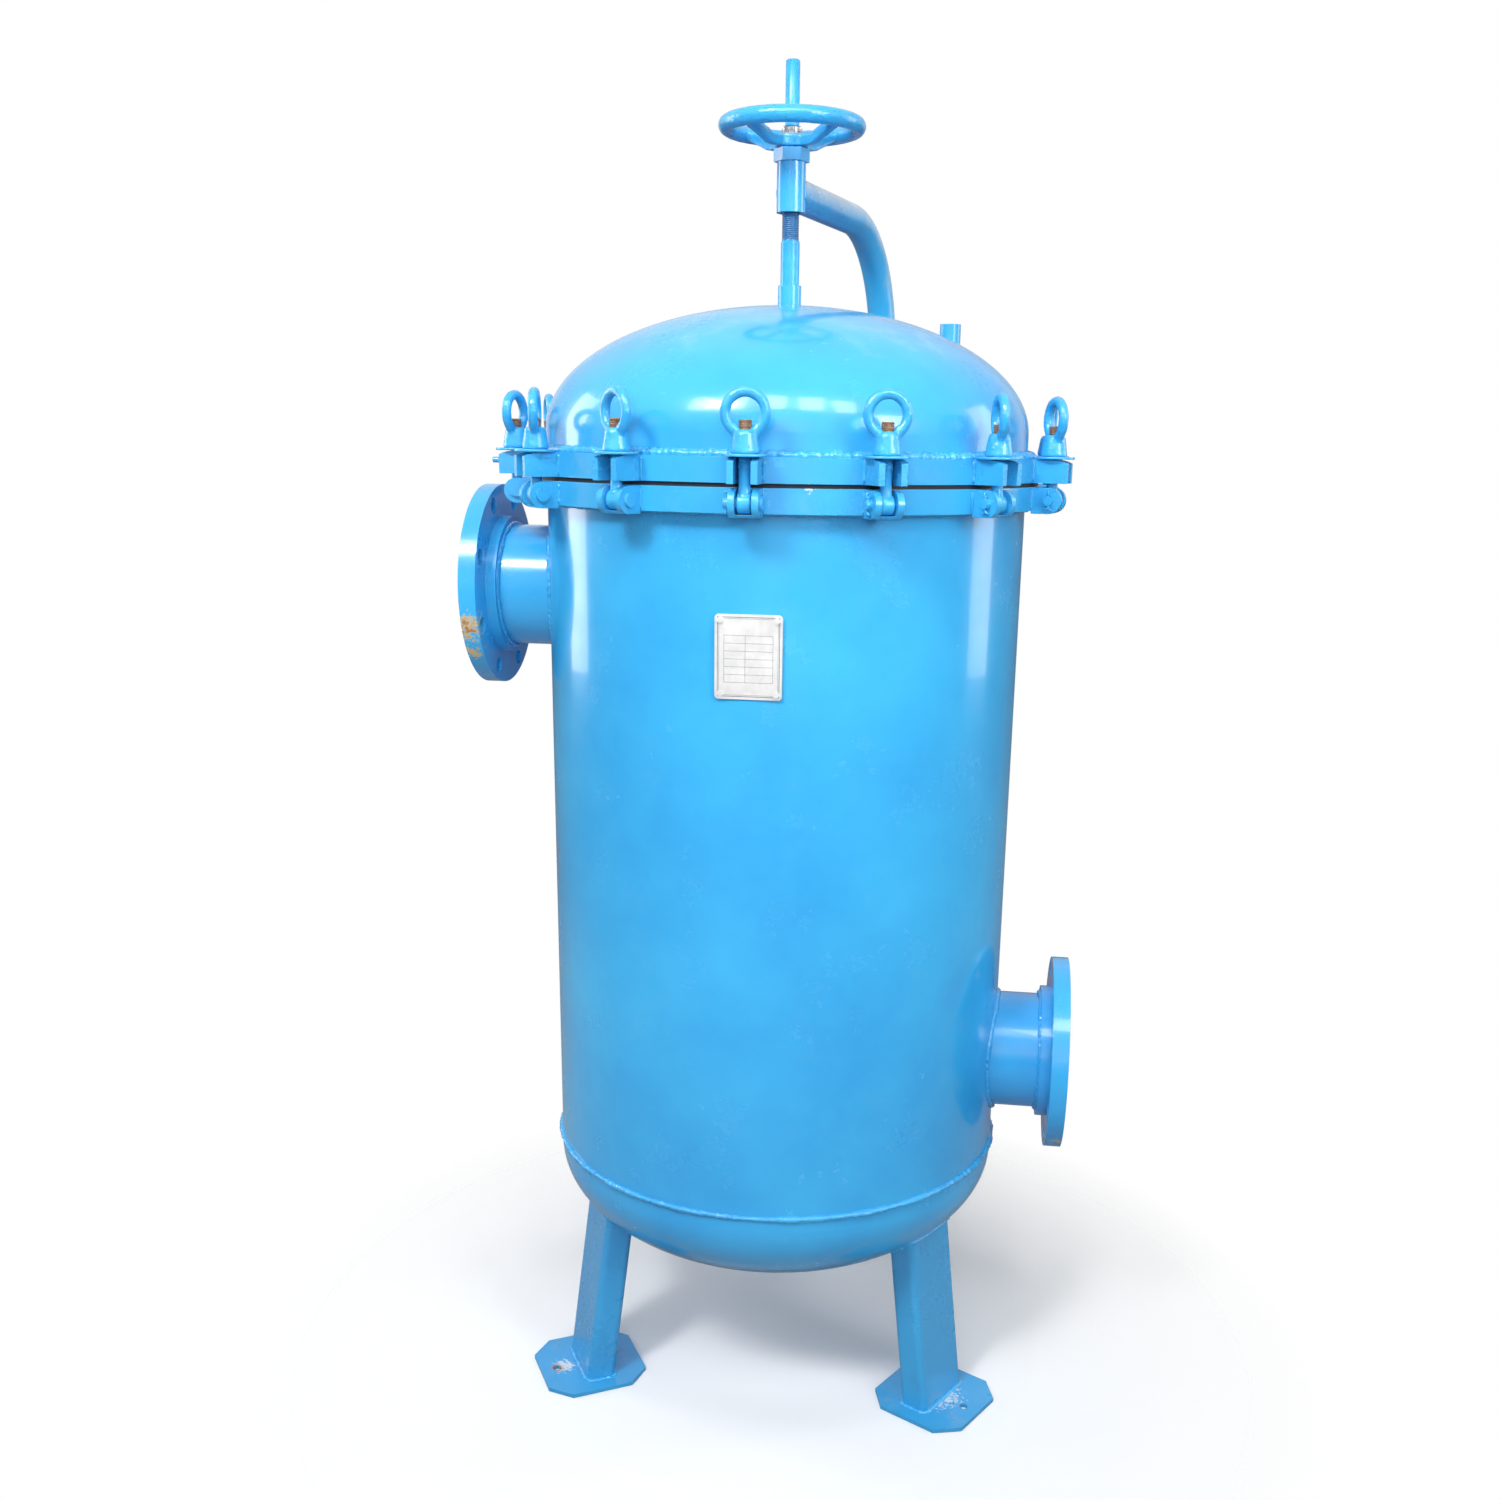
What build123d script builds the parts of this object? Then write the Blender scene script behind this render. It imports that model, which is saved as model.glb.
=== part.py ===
from build123d import *
import os
from math import atan2, ceil, cos, degrees, pi, radians, sin, sqrt

# Multi-bag filter housing: an upright welded vessel on three legs, with a domed lid held by
# swing bolts and eye nuts, and a davit whose handwheel raises the lid on a screw.
# Millimetres, +Z up. The origin is on the vessel axis at floor level. The front is -Y, the
# inlet is on -X and the outlet on +X. Azimuths run from the front towards +X.

# ---- vessel ----
shell_od = 654.0
shell_wall = 6.0
seam_z = 367.0                 # weld between the shell and the bottom head
head_flange = 20.0             # straight flange of the bottom head
ring_width = 19.0              # radial width of the two body rings
ring_thickness = 30.0
ring_top_z = 1320.0            # top face of the vessel ring
ring_setback = 6.0             # shell and lid edges stop this far short of the joint faces
gasket_thickness = 5.0
gasket_width = 13.0
gasket_inset = 3.0
lid_flange = 58.0              # straight flange of the lid, from the joint face to the dome

# ---- swing-bolt closures ----
station_count = 14
bolt_offset = 22.0             # from the ring's rim to the bolt axis
pin_drop = 17.0                # hinge pin below the vessel ring's top face
pin_d = 12.0
pin_fit = 0.05                 # radial running clearance of the bolt eye on its pin
ear_thickness = 8.0
ear_gap = 20.0
ear_r = 16.5
web_thickness = 4.0
web_reach = 10.0               # web beyond the pin axis
bolt_eye_d = 24.0
bolt_eye_width = 16.0
shank_d = 14.0
thread_d = 16.0
thread_below_seat = 12.0
lug_reach = 22.0               # lug plate beyond the bolt axis
washer_d = 54.0
washer_thickness = 3.0
seat_gap = 0.2                 # nut washer above the lug plates
nut_base_d = 34.0
nut_neck_d = 26.0
nut_neck_height = 26.0
eye_wire_d = 12.4
eye_ring_d = 46.2              # diameter of the eye's centre line
eye_centre_height = 45.7       # eye centre above the nut's base
bolt_end_height = 38.0         # bolt end above the nut's base
thread_fit = 0.06              # radial clearance of the nut on the bolt
pin_head_d = 17.0
pin_head_height = 4.0
pin_tail = 7.0                 # pin beyond the far ear
cotter_d = 3.0
cotter_length = 22.0
# How far each eye nut happens to be turned on its bolt, in degrees, from the front station on.
eye_turns = [8, -10, 52, 35, -20, 65, 15, -50, 30, -70, 35, -25, -28, -18]

# ---- nozzles, six-inch slip-on flanges ----
pipe_od = 168.3
pipe_wall = 7.1
inlet_below_ring = 122.0       # nozzle axis below the vessel ring
outlet_above_seam = 136.0      # nozzle axis above the bottom seam
face_x = 430.0                 # flange face from the vessel axis
flange_od = 279.4
flange_thickness = 25.4
raised_face_d = 216.0
raised_face_height = 1.6
hub_d = 192.0
hub_length = 39.6
flange_pcd = 241.3
flange_holes = 8
flange_hole_d = 22.2
pipe_setback = 6.0             # pipe end inside the flange face

# ---- legs ----
leg_count = 3
leg_azimuth = 60.0             # first leg; the others follow at equal angles
leg_width = 102.0
leg_depth = 42.0
leg_wall = 5.0
leg_corner_r = 9.0
leg_splay = 7.5
leg_foot_r = 300.0             # leg centre line at the floor
plate_size = 150.0
plate_cut = 30.0
plate_thickness = 6.0
plate_r = 304.0                # centre of a base plate
anchor_r = 355.0
anchor_hole_d = 12.0

# ---- lid fittings ----
vent_r = 239.0
vent_azimuth = 117.0
vent_od = 29.0
vent_bore = 18.4
vent_height = 38.0
socket_od = 31.0
socket_height = 26.0
socket_floor = 4.0
guide_azimuth = -90.0
guide_d = 8.0
guide_reach = 72.0
guide_z_above_ring = 16.0      # guide rod above the lid ring's lower face

# ---- lift screw, handwheel and davit ----
screw_d = 25.0
screw_thread_d = 22.7
screw_rod_d = 18.5
screw_thread_below_sleeve = 35.0
screw_rod_length = 79.0        # plain end above the thread
screw_clearance = 0.2
sleeve_od = 38.0
sleeve_id = 26.0
sleeve_below_arm = 25.0
sleeve_above_arm = 37.0
collar_across_flats = 41.0
collar_height = 16.0
wheel_gap = 0.3                # handwheel hub above the collar
wheel_hub_d = 44.0
wheel_hub_height = 17.0
wheel_rim_d = 172.0            # centre line of the rim
wheel_rim_wire = 21.5
wheel_dish = 26.7              # rim centre above the hub's lower face
wheel_spokes = 4
wheel_turn = 7.7               # how far the wheel happens to be turned
spoke_width = 10.0
spoke_depth = 14.0
lift_nut_d = 30.0
lift_nut_crown_d = 27.0
lift_nut_crown = 8.0
arm_od = 42.4
arm_wall = 4.0
arm_rise = 141.5               # arm's centre line above the dome
arm_bend_r = 180.0
post_r = 430.0
bracket_wall = 7.0
bracket_fit = 0.3
bracket_below_ring = 50.0      # bracket's mouth below the vessel ring
bracket_depth = 150.0          # socket from its mouth to its floor
bracket_cap = 10.0
gusset_thickness = 10.0
gusset_width = 90.0
gusset_rise = 20.0             # lower gusset above the socket's floor
gusset_spacing = 100.0

# ---- drain ----
drain_od = 44.0
drain_bore = 30.0
drain_length = 40.0
plug_engagement = 18.0
plug_head = 20.0
plug_head_height = 16.0

# ---- nameplate ----
nameplate_width = 83.0
nameplate_height = 103.0
nameplate_thickness = 1.5
nameplate_below_inlet = 48.0   # plate's centre below the inlet's axis
nameplate_corner_r = 5.0
nameplate_gap = 0.5
stud_d = 5.0
stud_head_d = 8.0
stud_head_height = 2.2
stud_inset = 7.0

# ---- internals ----
sheet_below_inlet = 122.0      # underside of the tube sheet below the inlet's axis
sheet_thickness = 12.0
sheet_clearance = 0.3
bag_count = 4
basket_edge_gap = 18.0         # basket collar to the shell
basket_od = 166.0
basket_wall = 1.5
basket_below_tangent = 49.0    # basket floor below the bottom head's tangent line
basket_hole_gap = 1.0
basket_collar_d = 196.0
basket_collar = 6.0
basket_slots = 6
slot_width = 14.0
slot_end = 70.0
bag_gap = 1.5
bag_wall = 2.0
bag_floor_gap = 20.0           # how much shorter the bag is than its basket
bag_collar_d = 182.0
bag_collar = 5.0
hold_ring_d = 178.0
hold_ring_bore = 150.0
hold_thickness = 8.0
hold_arm = 26.0
hold_hub_d = 70.0
stud_bolt_d = 20.0
stud_bolt_rise = 70.0
hold_nut_flats = 30.0
hold_nut_height = 16.0

# ---- worked out from the sizes above ----
shell_r = shell_od / 2
shell_ir = shell_r - shell_wall
head_tangent_z = seam_z - head_flange
head_depth = shell_r / 2                       # 2:1 ellipsoidal heads
ring_r = shell_r + ring_width
ring_bottom_z = ring_top_z - ring_thickness
inlet_z = ring_bottom_z - inlet_below_ring
outlet_z = seam_z + outlet_above_seam
lid_face_z = ring_top_z + gasket_thickness     # lower face of the lid ring
seat_z = lid_face_z + ring_thickness           # top of the lid ring and lug plates
dome_tangent_z = lid_face_z + lid_flange
dome_apex_z = dome_tangent_z + head_depth
bolt_r = ring_r + bolt_offset
pin_z = ring_top_z - pin_drop
washer_z = seat_z + seat_gap
nut_z = washer_z + washer_thickness
pin_end_x = ear_gap / 2 + ear_thickness
arm_z = dome_apex_z + arm_rise
sleeve_bottom = arm_z - sleeve_below_arm
sleeve_top = arm_z + sleeve_above_arm
wheel_z = sleeve_top + collar_height + wheel_gap
wheel_rim_z = wheel_z + wheel_dish
screw_plain_top = sleeve_bottom - screw_thread_below_sleeve
screw_thread_top = wheel_rim_z
screw_top = screw_thread_top + screw_rod_length
bracket_top = ring_bottom_z - bracket_below_ring
post_bottom = bracket_top - bracket_depth
nameplate_z = inlet_z - nameplate_below_inlet
sheet_z = inlet_z - sheet_below_inlet
sheet_top = sheet_z + sheet_thickness
bag_circle_r = shell_ir - basket_edge_gap - basket_collar_d / 2
basket_bottom_z = head_tangent_z - basket_below_tangent
hold_z = sheet_top + basket_collar + bag_collar

UP = (Align.CENTER, Align.CENTER, Align.MIN)


def rod(diameter, bottom, top):
    return Pos(0, 0, bottom) * Cylinder(diameter / 2, top - bottom, align=UP)


def pipe(outer_d, inner_d, bottom, top):
    return rod(outer_d, bottom, top) - rod(inner_d, bottom - 1, top + 1)


def around(shape, azimuths):
    return [Rot(0, 0, azimuth) * shape for azimuth in azimuths]


def at_front(shape, radius, azimuth):
    """Move a shape from the axis out to a radius at an azimuth, counted from the front."""
    return Rot(0, 0, azimuth) * Pos(0, -radius, 0) * shape


def cross_rod(diameter, x0, x1, y=0.0, z=0.0):
    """A rod along X."""
    return Pos(x0, y, z) * Rot(0, 90, 0) * Cylinder(diameter / 2, x1 - x0, align=UP)


def box_between(low, high):
    size = [b - a for a, b in zip(low, high)]
    return Pos(*low) * Box(*size, align=(Align.MIN, Align.MIN, Align.MIN))


def bodies(shape):
    """Flatten shapes and lists of shapes into single solids."""
    if isinstance(shape, (list, tuple)):
        return [solid for item in shape for solid in bodies(item)]
    return list(shape.solids())


def save(name, shape):
    solids = bodies(shape)
    node = solids[0] if len(solids) == 1 else Compound(children=solids)
    export_step(node, f"parts/{name}.step")


def head_solid(radius, depth, tangent_z, flange, up):
    """A filled ellipsoidal head with a straight flange, opening away from its apex."""
    side = 1 if up else -1
    with BuildPart() as head:
        with BuildSketch(Plane.XZ):
            with BuildLine():
                EllipticalCenterArc((0, tangent_z), radius, depth, 0 if up else -90, arc_size=90)
                Line((radius, tangent_z), (radius, tangent_z - side * flange))
                Line((radius, tangent_z - side * flange), (0, tangent_z - side * flange))
                Line((0, tangent_z - side * flange), (0, tangent_z + side * depth))
            make_face()
        revolve(axis=Axis.Z)
    return head.part


def head_shell(tangent_z, flange, up):
    outer = head_solid(shell_r, head_depth, tangent_z, flange, up)
    inner = head_solid(shell_ir, head_depth - shell_wall, tangent_z, flange + 1, up)
    return outer - inner


# ---------------------------------------------------------------- vessel

def nozzle_bore(diameter, side, z):
    return cross_rod(diameter, *sorted((side * shell_r / 2, side * (face_x + 10))), z=z)


def shell():
    body = pipe(shell_od, 2 * shell_ir, seam_z, ring_top_z - ring_setback)
    return body - nozzle_bore(pipe_od, -1, inlet_z) - nozzle_bore(pipe_od, 1, outlet_z)


def bottom_head():
    return head_shell(head_tangent_z, head_flange, up=False) - rod(drain_bore, 0, head_tangent_z)


def vessel_ring():
    return pipe(2 * ring_r, shell_od, ring_bottom_z, ring_top_z)


def ring_gasket():
    outer_d = 2 * (ring_r - gasket_inset)
    return pipe(outer_d, outer_d - 2 * gasket_width, ring_top_z, lid_face_z)


# ---------------------------------------------------------------- nozzles

def nozzle_pipe(side, z):
    inner_d = pipe_od - 2 * pipe_wall
    ends = sorted((side * shell_ir / 2, side * (face_x - pipe_setback)))
    tube = cross_rod(pipe_od, *ends, z=z) - nozzle_bore(inner_d, side, z)
    return tube - rod(2 * shell_ir, z - pipe_od, z + pipe_od)


def slip_on_flange(side, z):
    """A slip-on flange with its raised face at face_x and its bolt holes off the centre lines."""
    back = hub_length - raised_face_height
    disc = Cylinder(flange_od / 2, flange_thickness - raised_face_height, align=UP)
    hub = Cylinder(hub_d / 2, back, align=UP)
    face = Pos(0, 0, -raised_face_height) * Cylinder(raised_face_d / 2, raised_face_height, align=UP)
    hole = Pos(flange_pcd / 2, 0, 0) * Cylinder(flange_hole_d / 2, 4 * flange_thickness)
    step = 360 / flange_holes
    flange = disc + hub + face - Cylinder(pipe_od / 2, 4 * hub_length)
    for index in range(flange_holes):
        flange -= Rot(0, 0, (index + 0.5) * step) * hole
    outward = Pos(side * (face_x - raised_face_height), 0, z) * Rot(0, -side * 90, 0)
    return outward * flange


# ---------------------------------------------------------------- legs

def leg():
    """A box leg at the front: it leans out to the floor and is cut to the bottom head."""
    outline = RectangleRounded(leg_width, leg_depth, leg_corner_r)
    bore = RectangleRounded(leg_width - 2 * leg_wall, leg_depth - 2 * leg_wall, leg_corner_r - leg_wall)
    lean = Pos(0, -leg_foot_r, 0) * Rot(-leg_splay, 0, 0)
    tube = Pos(0, 0, -leg_depth) * extrude(outline - bore, seam_z + leg_depth)
    tube = lean * tube
    tube -= Pos(0, -leg_foot_r, plate_thickness) * Box(
        3 * leg_width, 3 * leg_width, 2 * leg_width, align=(Align.CENTER, Align.CENTER, Align.MAX))
    return tube - head_solid(shell_r, head_depth, head_tangent_z, head_flange + leg_width, up=False)


def base_plate():
    outline = chamfer(Rectangle(plate_size, plate_size).vertices(), plate_cut)
    plate = Pos(0, -plate_r, 0) * extrude(outline, plate_thickness)
    return plate - Pos(0, -anchor_r, 0) * Cylinder(anchor_hole_d / 2, 4 * plate_thickness)


# ---------------------------------------------------------------- closures, made at the front

def clevis():
    """Two ears joined by a web, welded to the rim of the vessel ring."""
    foot_z = pin_z - ear_r
    root_y = -ring_r + ear_thickness
    ear = cross_rod(2 * ear_r, -pin_end_x, pin_end_x, y=-bolt_r, z=pin_z)
    ear += box_between((-pin_end_x, -bolt_r, foot_z), (pin_end_x, root_y, pin_z + ear_r))
    slot = box_between((-ear_gap / 2, -bolt_r - 2 * ear_r, foot_z + web_thickness),
                       (ear_gap / 2, 0, pin_z + 2 * ear_r))
    nose = box_between((-ear_gap / 2, -bolt_r - 2 * ear_r, foot_z - 1),
                       (ear_gap / 2, -bolt_r - web_reach, pin_z))
    hole = cross_rod(pin_d, -2 * pin_end_x, 2 * pin_end_x, y=-bolt_r, z=pin_z)
    return ear - slot - nose - hole - rod(2 * ring_r, 0, screw_top)


def clevis_pin():
    """A headed pin with a split pin through its tail."""
    tail_x = -pin_end_x - pin_tail
    cotter_x = -pin_end_x - pin_tail / 2
    pin = cross_rod(pin_d, tail_x, pin_end_x, y=-bolt_r, z=pin_z)
    pin += cross_rod(pin_head_d, pin_end_x, pin_end_x + pin_head_height, y=-bolt_r, z=pin_z)
    cotter = Pos(cotter_x, -bolt_r, pin_z) * Cylinder(cotter_d / 2, cotter_length)
    return [pin - cotter, cotter]


def swing_bolt():
    """An eye bolt standing on its hinge pin, with its thread at the top."""
    end_z = nut_z + bolt_end_height
    thread_z = seat_z - thread_below_seat
    tip = chamfer(rod(thread_d, thread_z, end_z).edges().group_by(Axis.Z)[-1], 1.5)
    stem = Pos(0, -bolt_r, 0) * (rod(shank_d, pin_z, thread_z) + tip)
    eye = cross_rod(bolt_eye_d, -bolt_eye_width / 2, bolt_eye_width / 2, y=-bolt_r, z=pin_z)
    hole = cross_rod(pin_d + 2 * pin_fit, -bolt_eye_width, bolt_eye_width, y=-bolt_r, z=pin_z)
    return stem + eye - hole


def lug_plates():
    """The pair of plates on the lid ring that the bolt stands between and the nut bears on.

    Beyond the bolt axis their tops follow an arc about the hinge pin, so that the nut swings off.
    """
    seat = seat_z - pin_z
    drop = sqrt(seat ** 2 - lug_reach ** 2)
    half = seat * sin(atan2(lug_reach, drop) / 2), seat * cos(atan2(lug_reach, drop) / 2)
    root_y = -ring_r + ear_thickness
    outer_y = -bolt_r - lug_reach
    with BuildPart() as plate:
        with BuildSketch(Plane.YZ.offset(ear_gap / 2)):
            with BuildLine():
                Polyline((-bolt_r, seat_z), (root_y, seat_z), (root_y, lid_face_z),
                         (outer_y, lid_face_z), (outer_y, pin_z + drop))
                ThreePointArc((outer_y, pin_z + drop), (-bolt_r - half[0], pin_z + half[1]),
                              (-bolt_r, seat_z))
            make_face()
        extrude(amount=ear_thickness)
    trimmed = plate.part - rod(2 * ring_r, 0, screw_top)
    return [trimmed, mirror(trimmed, about=Plane.YZ)]


def eye_nut(turn):
    """An eye nut and its washer, seated on the lug plates."""
    hole_d = thread_d + 2 * thread_fit
    eye_z = nut_z + eye_centre_height
    neck = Pos(0, 0, nut_z) * Cone(nut_base_d / 2, nut_neck_d / 2, nut_neck_height, align=UP)
    eye = Pos(0, 0, eye_z) * Rot(90, 0, 0) * Torus(eye_ring_d / 2, eye_wire_d / 2)
    nut = neck + eye - rod(hole_d, nut_z - 1, nut_z + bolt_end_height)
    washer = pipe(washer_d, thread_d + 1.2, washer_z, nut_z)
    return [Pos(0, -bolt_r, 0) * Rot(0, 0, turn) * nut, Pos(0, -bolt_r, 0) * washer]


# ---------------------------------------------------------------- lid

def vent_place():
    return Rot(0, 0, vent_azimuth) * Pos(0, -vent_r, 0)


def surface_z(radius):
    """Height of the lid's outer surface at a radius."""
    return dome_tangent_z + head_depth * sqrt(1 - (radius / shell_r) ** 2)


def lid_dome():
    dome = head_shell(dome_tangent_z, lid_flange - ring_setback, up=True)
    return dome - vent_place() * rod(vent_bore, dome_tangent_z, screw_top)


def lid_ring():
    return pipe(2 * ring_r, shell_od, lid_face_z, seat_z)


def dome_cutter():
    return head_solid(shell_r, head_depth, dome_tangent_z, lid_flange, up=True)


def vent_coupling():
    top = surface_z(vent_r) + vent_height
    tube = vent_place() * pipe(vent_od, vent_bore, dome_tangent_z, top)
    return tube - dome_cutter()


def lid_socket():
    cup = rod(socket_od, dome_apex_z, dome_apex_z + socket_height)
    return cup - rod(screw_d, dome_apex_z + socket_floor, screw_top)


def lid_guide_rod():
    bar = Pos(0, 0, lid_face_z + guide_z_above_ring) * Rot(90, 0, 0) * Cylinder(
        guide_d / 2, ring_r + guide_reach, align=UP)
    return Rot(0, 0, guide_azimuth) * (bar - rod(2 * ring_r, 0, screw_top))


# ---------------------------------------------------------------- lift gear

def lift_screw():
    screw = rod(screw_d, dome_apex_z + socket_floor, screw_plain_top)
    screw += rod(screw_thread_d, screw_plain_top, screw_thread_top)
    screw += rod(screw_rod_d, screw_thread_top, screw_top)
    return chamfer(screw.edges().group_by(Axis.Z)[-1], 1.5)


def handwheel():
    """A dished four-spoke wheel: each spoke is a bent bar from the hub up to the rim."""
    hub = rod(wheel_hub_d, wheel_z, wheel_z + wheel_hub_height)
    rim_r = wheel_rim_d / 2
    rim = Pos(0, 0, wheel_rim_z) * Torus(rim_r, wheel_rim_wire / 2)
    low = wheel_z
    bend = wheel_hub_d / 2 + spoke_width / 2
    top = wheel_rim_z - spoke_depth / 2
    with BuildPart() as spoke:
        with BuildSketch(Plane.YZ.offset(-spoke_width / 2)):
            Polygon((0, low), (-bend, low), (-rim_r, top), (-rim_r, top + spoke_depth),
                    (-bend, low + spoke_depth), (0, low + spoke_depth), align=None)
        extrude(amount=spoke_width)
    wheel = hub + rim
    for index in range(wheel_spokes):
        wheel += Rot(0, 0, wheel_turn + (index + 0.5) * 360 / wheel_spokes) * spoke.part
    return wheel - rod(lift_nut_d, wheel_z - 1, wheel_rim_z)


def lift_nut():
    bore = screw_thread_d + 2 * screw_clearance
    top = wheel_z + wheel_hub_height
    body = rod(lift_nut_d, wheel_z, top) + rod(lift_nut_crown_d, top, top + lift_nut_crown)
    return body - rod(bore, 0, screw_top)


def hex_collar():
    prism = extrude(RegularPolygon(collar_across_flats / 2, 6, major_radius=False), collar_height)
    return Pos(0, 0, sleeve_top) * Rot(0, 0, wheel_turn) * prism - rod(sleeve_id, 0, screw_top)


def davit_sleeve():
    return pipe(sleeve_od, sleeve_id, sleeve_bottom, sleeve_top)


def davit_azimuth():
    """The davit stands midway between the two stations nearest the back."""
    return (ceil(station_count / 2) - 0.5) * 360 / station_count


def davit_arm():
    """A tube out from the sleeve, round one bend and down into the bracket."""
    with BuildPart() as arm:
        with BuildLine() as route:
            FilletPolyline((0, 0, arm_z), (0, -post_r, arm_z), (0, -post_r, post_bottom),
                           radius=arm_bend_r)
        with BuildSketch(Plane.XZ.offset(0) * Location((0, arm_z))):
            Circle(arm_od / 2)
            Circle(arm_od / 2 - arm_wall, mode=Mode.SUBTRACT)
        sweep(path=route.wires()[0])
    return Rot(0, 0, davit_azimuth()) * arm.part - rod(sleeve_od, sleeve_bottom - arm_od, sleeve_top + arm_od)


def davit_bracket():
    """A capped socket for the davit post on two gusset plates from the shell."""
    socket_id = arm_od + 2 * bracket_fit
    outer_d = socket_id + 2 * bracket_wall
    socket = pipe(outer_d, socket_id, post_bottom, bracket_top)
    socket += rod(outer_d, post_bottom - bracket_cap, post_bottom)
    socket = Pos(0, -post_r, 0) * socket
    bore = Pos(0, -post_r, 0) * rod((socket_id + outer_d) / 2, post_bottom - bracket_cap, bracket_top)
    for level in (post_bottom + gusset_rise, post_bottom + gusset_rise + gusset_spacing):
        half = gusset_width / 2
        outline = Polygon((-half, -shell_r + half / 2), (half, -shell_r + half / 2), (outer_d / 2, -post_r),
                          (-outer_d / 2, -post_r), align=None)
        gusset = Pos(0, 0, level) * extrude(outline, gusset_thickness)
        socket += gusset - rod(shell_od, 0, screw_top) - bore
    return Rot(0, 0, davit_azimuth()) * socket


# ---------------------------------------------------------------- drain and nameplate

def drain_coupling():
    apex_z = head_tangent_z - head_depth
    tube = pipe(drain_od, drain_bore, apex_z - drain_length, head_tangent_z)
    return tube - head_solid(shell_r, head_depth, head_tangent_z, head_flange, up=False)


def drain_plug():
    mouth_z = head_tangent_z - head_depth - drain_length
    body = rod(drain_bore, mouth_z, mouth_z + plug_engagement)
    return body + Pos(0, 0, mouth_z) * Box(plug_head, plug_head, plug_head_height,
                                           align=(Align.CENTER, Align.CENTER, Align.MAX))


def nameplate():
    outline = RectangleRounded(nameplate_width, nameplate_height, nameplate_corner_r)
    front = Pos(0, -shell_r - nameplate_gap, nameplate_z) * Rot(90, 0, 0)
    plate = front * extrude(outline, nameplate_thickness)
    for stud in nameplate_studs():
        plate -= stud
    return plate


def nameplate_studs():
    """Four headed studs through the plate's corners to the shell."""
    plate_y = -shell_r - nameplate_gap - nameplate_thickness
    studs = []
    for side in (-1, 1):
        for level in (-1, 1):
            x = side * (nameplate_width / 2 - stud_inset)
            z = nameplate_z + level * (nameplate_height / 2 - stud_inset)
            stem = Pos(x, plate_y, z) * Rot(-90, 0, 0) * Cylinder(stud_d / 2, 20, align=UP)
            head = Pos(x, plate_y, z) * Rot(90, 0, 0) * Cylinder(
                stud_head_d / 2, stud_head_height, align=UP)
            studs.append(stem + head - rod(shell_od, 0, screw_top))
    return studs


# ---------------------------------------------------------------- internals

def bag_azimuths():
    return [(index + 0.5) * 360 / bag_count for index in range(bag_count)]


def tube_sheet():
    sheet = rod(2 * (shell_ir - sheet_clearance), sheet_z, sheet_top)
    for azimuth in bag_azimuths():
        sheet -= at_front(rod(basket_od + 2 * basket_hole_gap, sheet_z - 1, sheet_top + 1), bag_circle_r, azimuth)
    return sheet


def bag_basket():
    """A slotted basket hanging by its collar from the tube sheet."""
    bottom = basket_bottom_z
    slot_length = sheet_top - bottom - 2 * slot_end
    inner_d = basket_od - 2 * basket_wall
    basket = rod(basket_od, bottom, sheet_top)
    basket += rod(basket_collar_d, sheet_top, sheet_top + basket_collar)
    basket -= rod(inner_d, bottom + basket_wall, sheet_top + basket_collar + 1)
    slot = Pos(0, 0, bottom + slot_end) * Box(slot_width, basket_od, slot_length,
                                              align=(Align.CENTER, Align.MIN, Align.MIN))
    for index in range(basket_slots):
        basket -= Rot(0, 0, index * 360 / basket_slots) * slot
    return basket


def filter_bag():
    """A felt bag inside its basket, hung by a stiff ring on the basket's collar."""
    top = sheet_top + basket_collar
    outer_d = basket_od - 2 * (basket_wall + bag_gap)
    floor = top - (sheet_top - basket_bottom_z - bag_floor_gap)
    bag = rod(outer_d, floor, top) + rod(bag_collar_d, top, top + bag_collar)
    return bag - rod(outer_d - 2 * bag_wall, floor + bag_wall, top + bag_collar + 1)


def hold_down():
    """A spider that presses all bag rings down, with the stud and nut that clamp it."""
    spider = rod(hold_hub_d, hold_z, hold_z + hold_thickness)
    arm = box_between((-hold_arm / 2, -bag_circle_r, hold_z), (hold_arm / 2, 0, hold_z + hold_thickness))
    bores = []
    for azimuth in bag_azimuths():
        spider += Rot(0, 0, azimuth) * arm
        spider += at_front(rod(hold_ring_d, hold_z, hold_z + hold_thickness), bag_circle_r, azimuth)
        bores.append(at_front(rod(hold_ring_bore, hold_z - 1, hold_z + 2 * hold_thickness), bag_circle_r, azimuth))
    for bore in bores:
        spider -= bore
    stud = rod(stud_bolt_d, sheet_top, sheet_top + stud_bolt_rise)
    nut_bottom = hold_z + hold_thickness
    hexagon = extrude(RegularPolygon(hold_nut_flats / 2, 6, major_radius=False), hold_nut_height)
    nut = Pos(0, 0, nut_bottom) * hexagon - stud
    return [spider - rod(stud_bolt_d + 2, 0, screw_top), stud, nut]


# ---------------------------------------------------------------- the assembly

os.makedirs("parts", exist_ok=True)

station_azimuths = [index * 360 / station_count for index in range(station_count)]
leg_azimuths = [leg_azimuth + index * 360 / leg_count for index in range(leg_count)]

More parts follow.
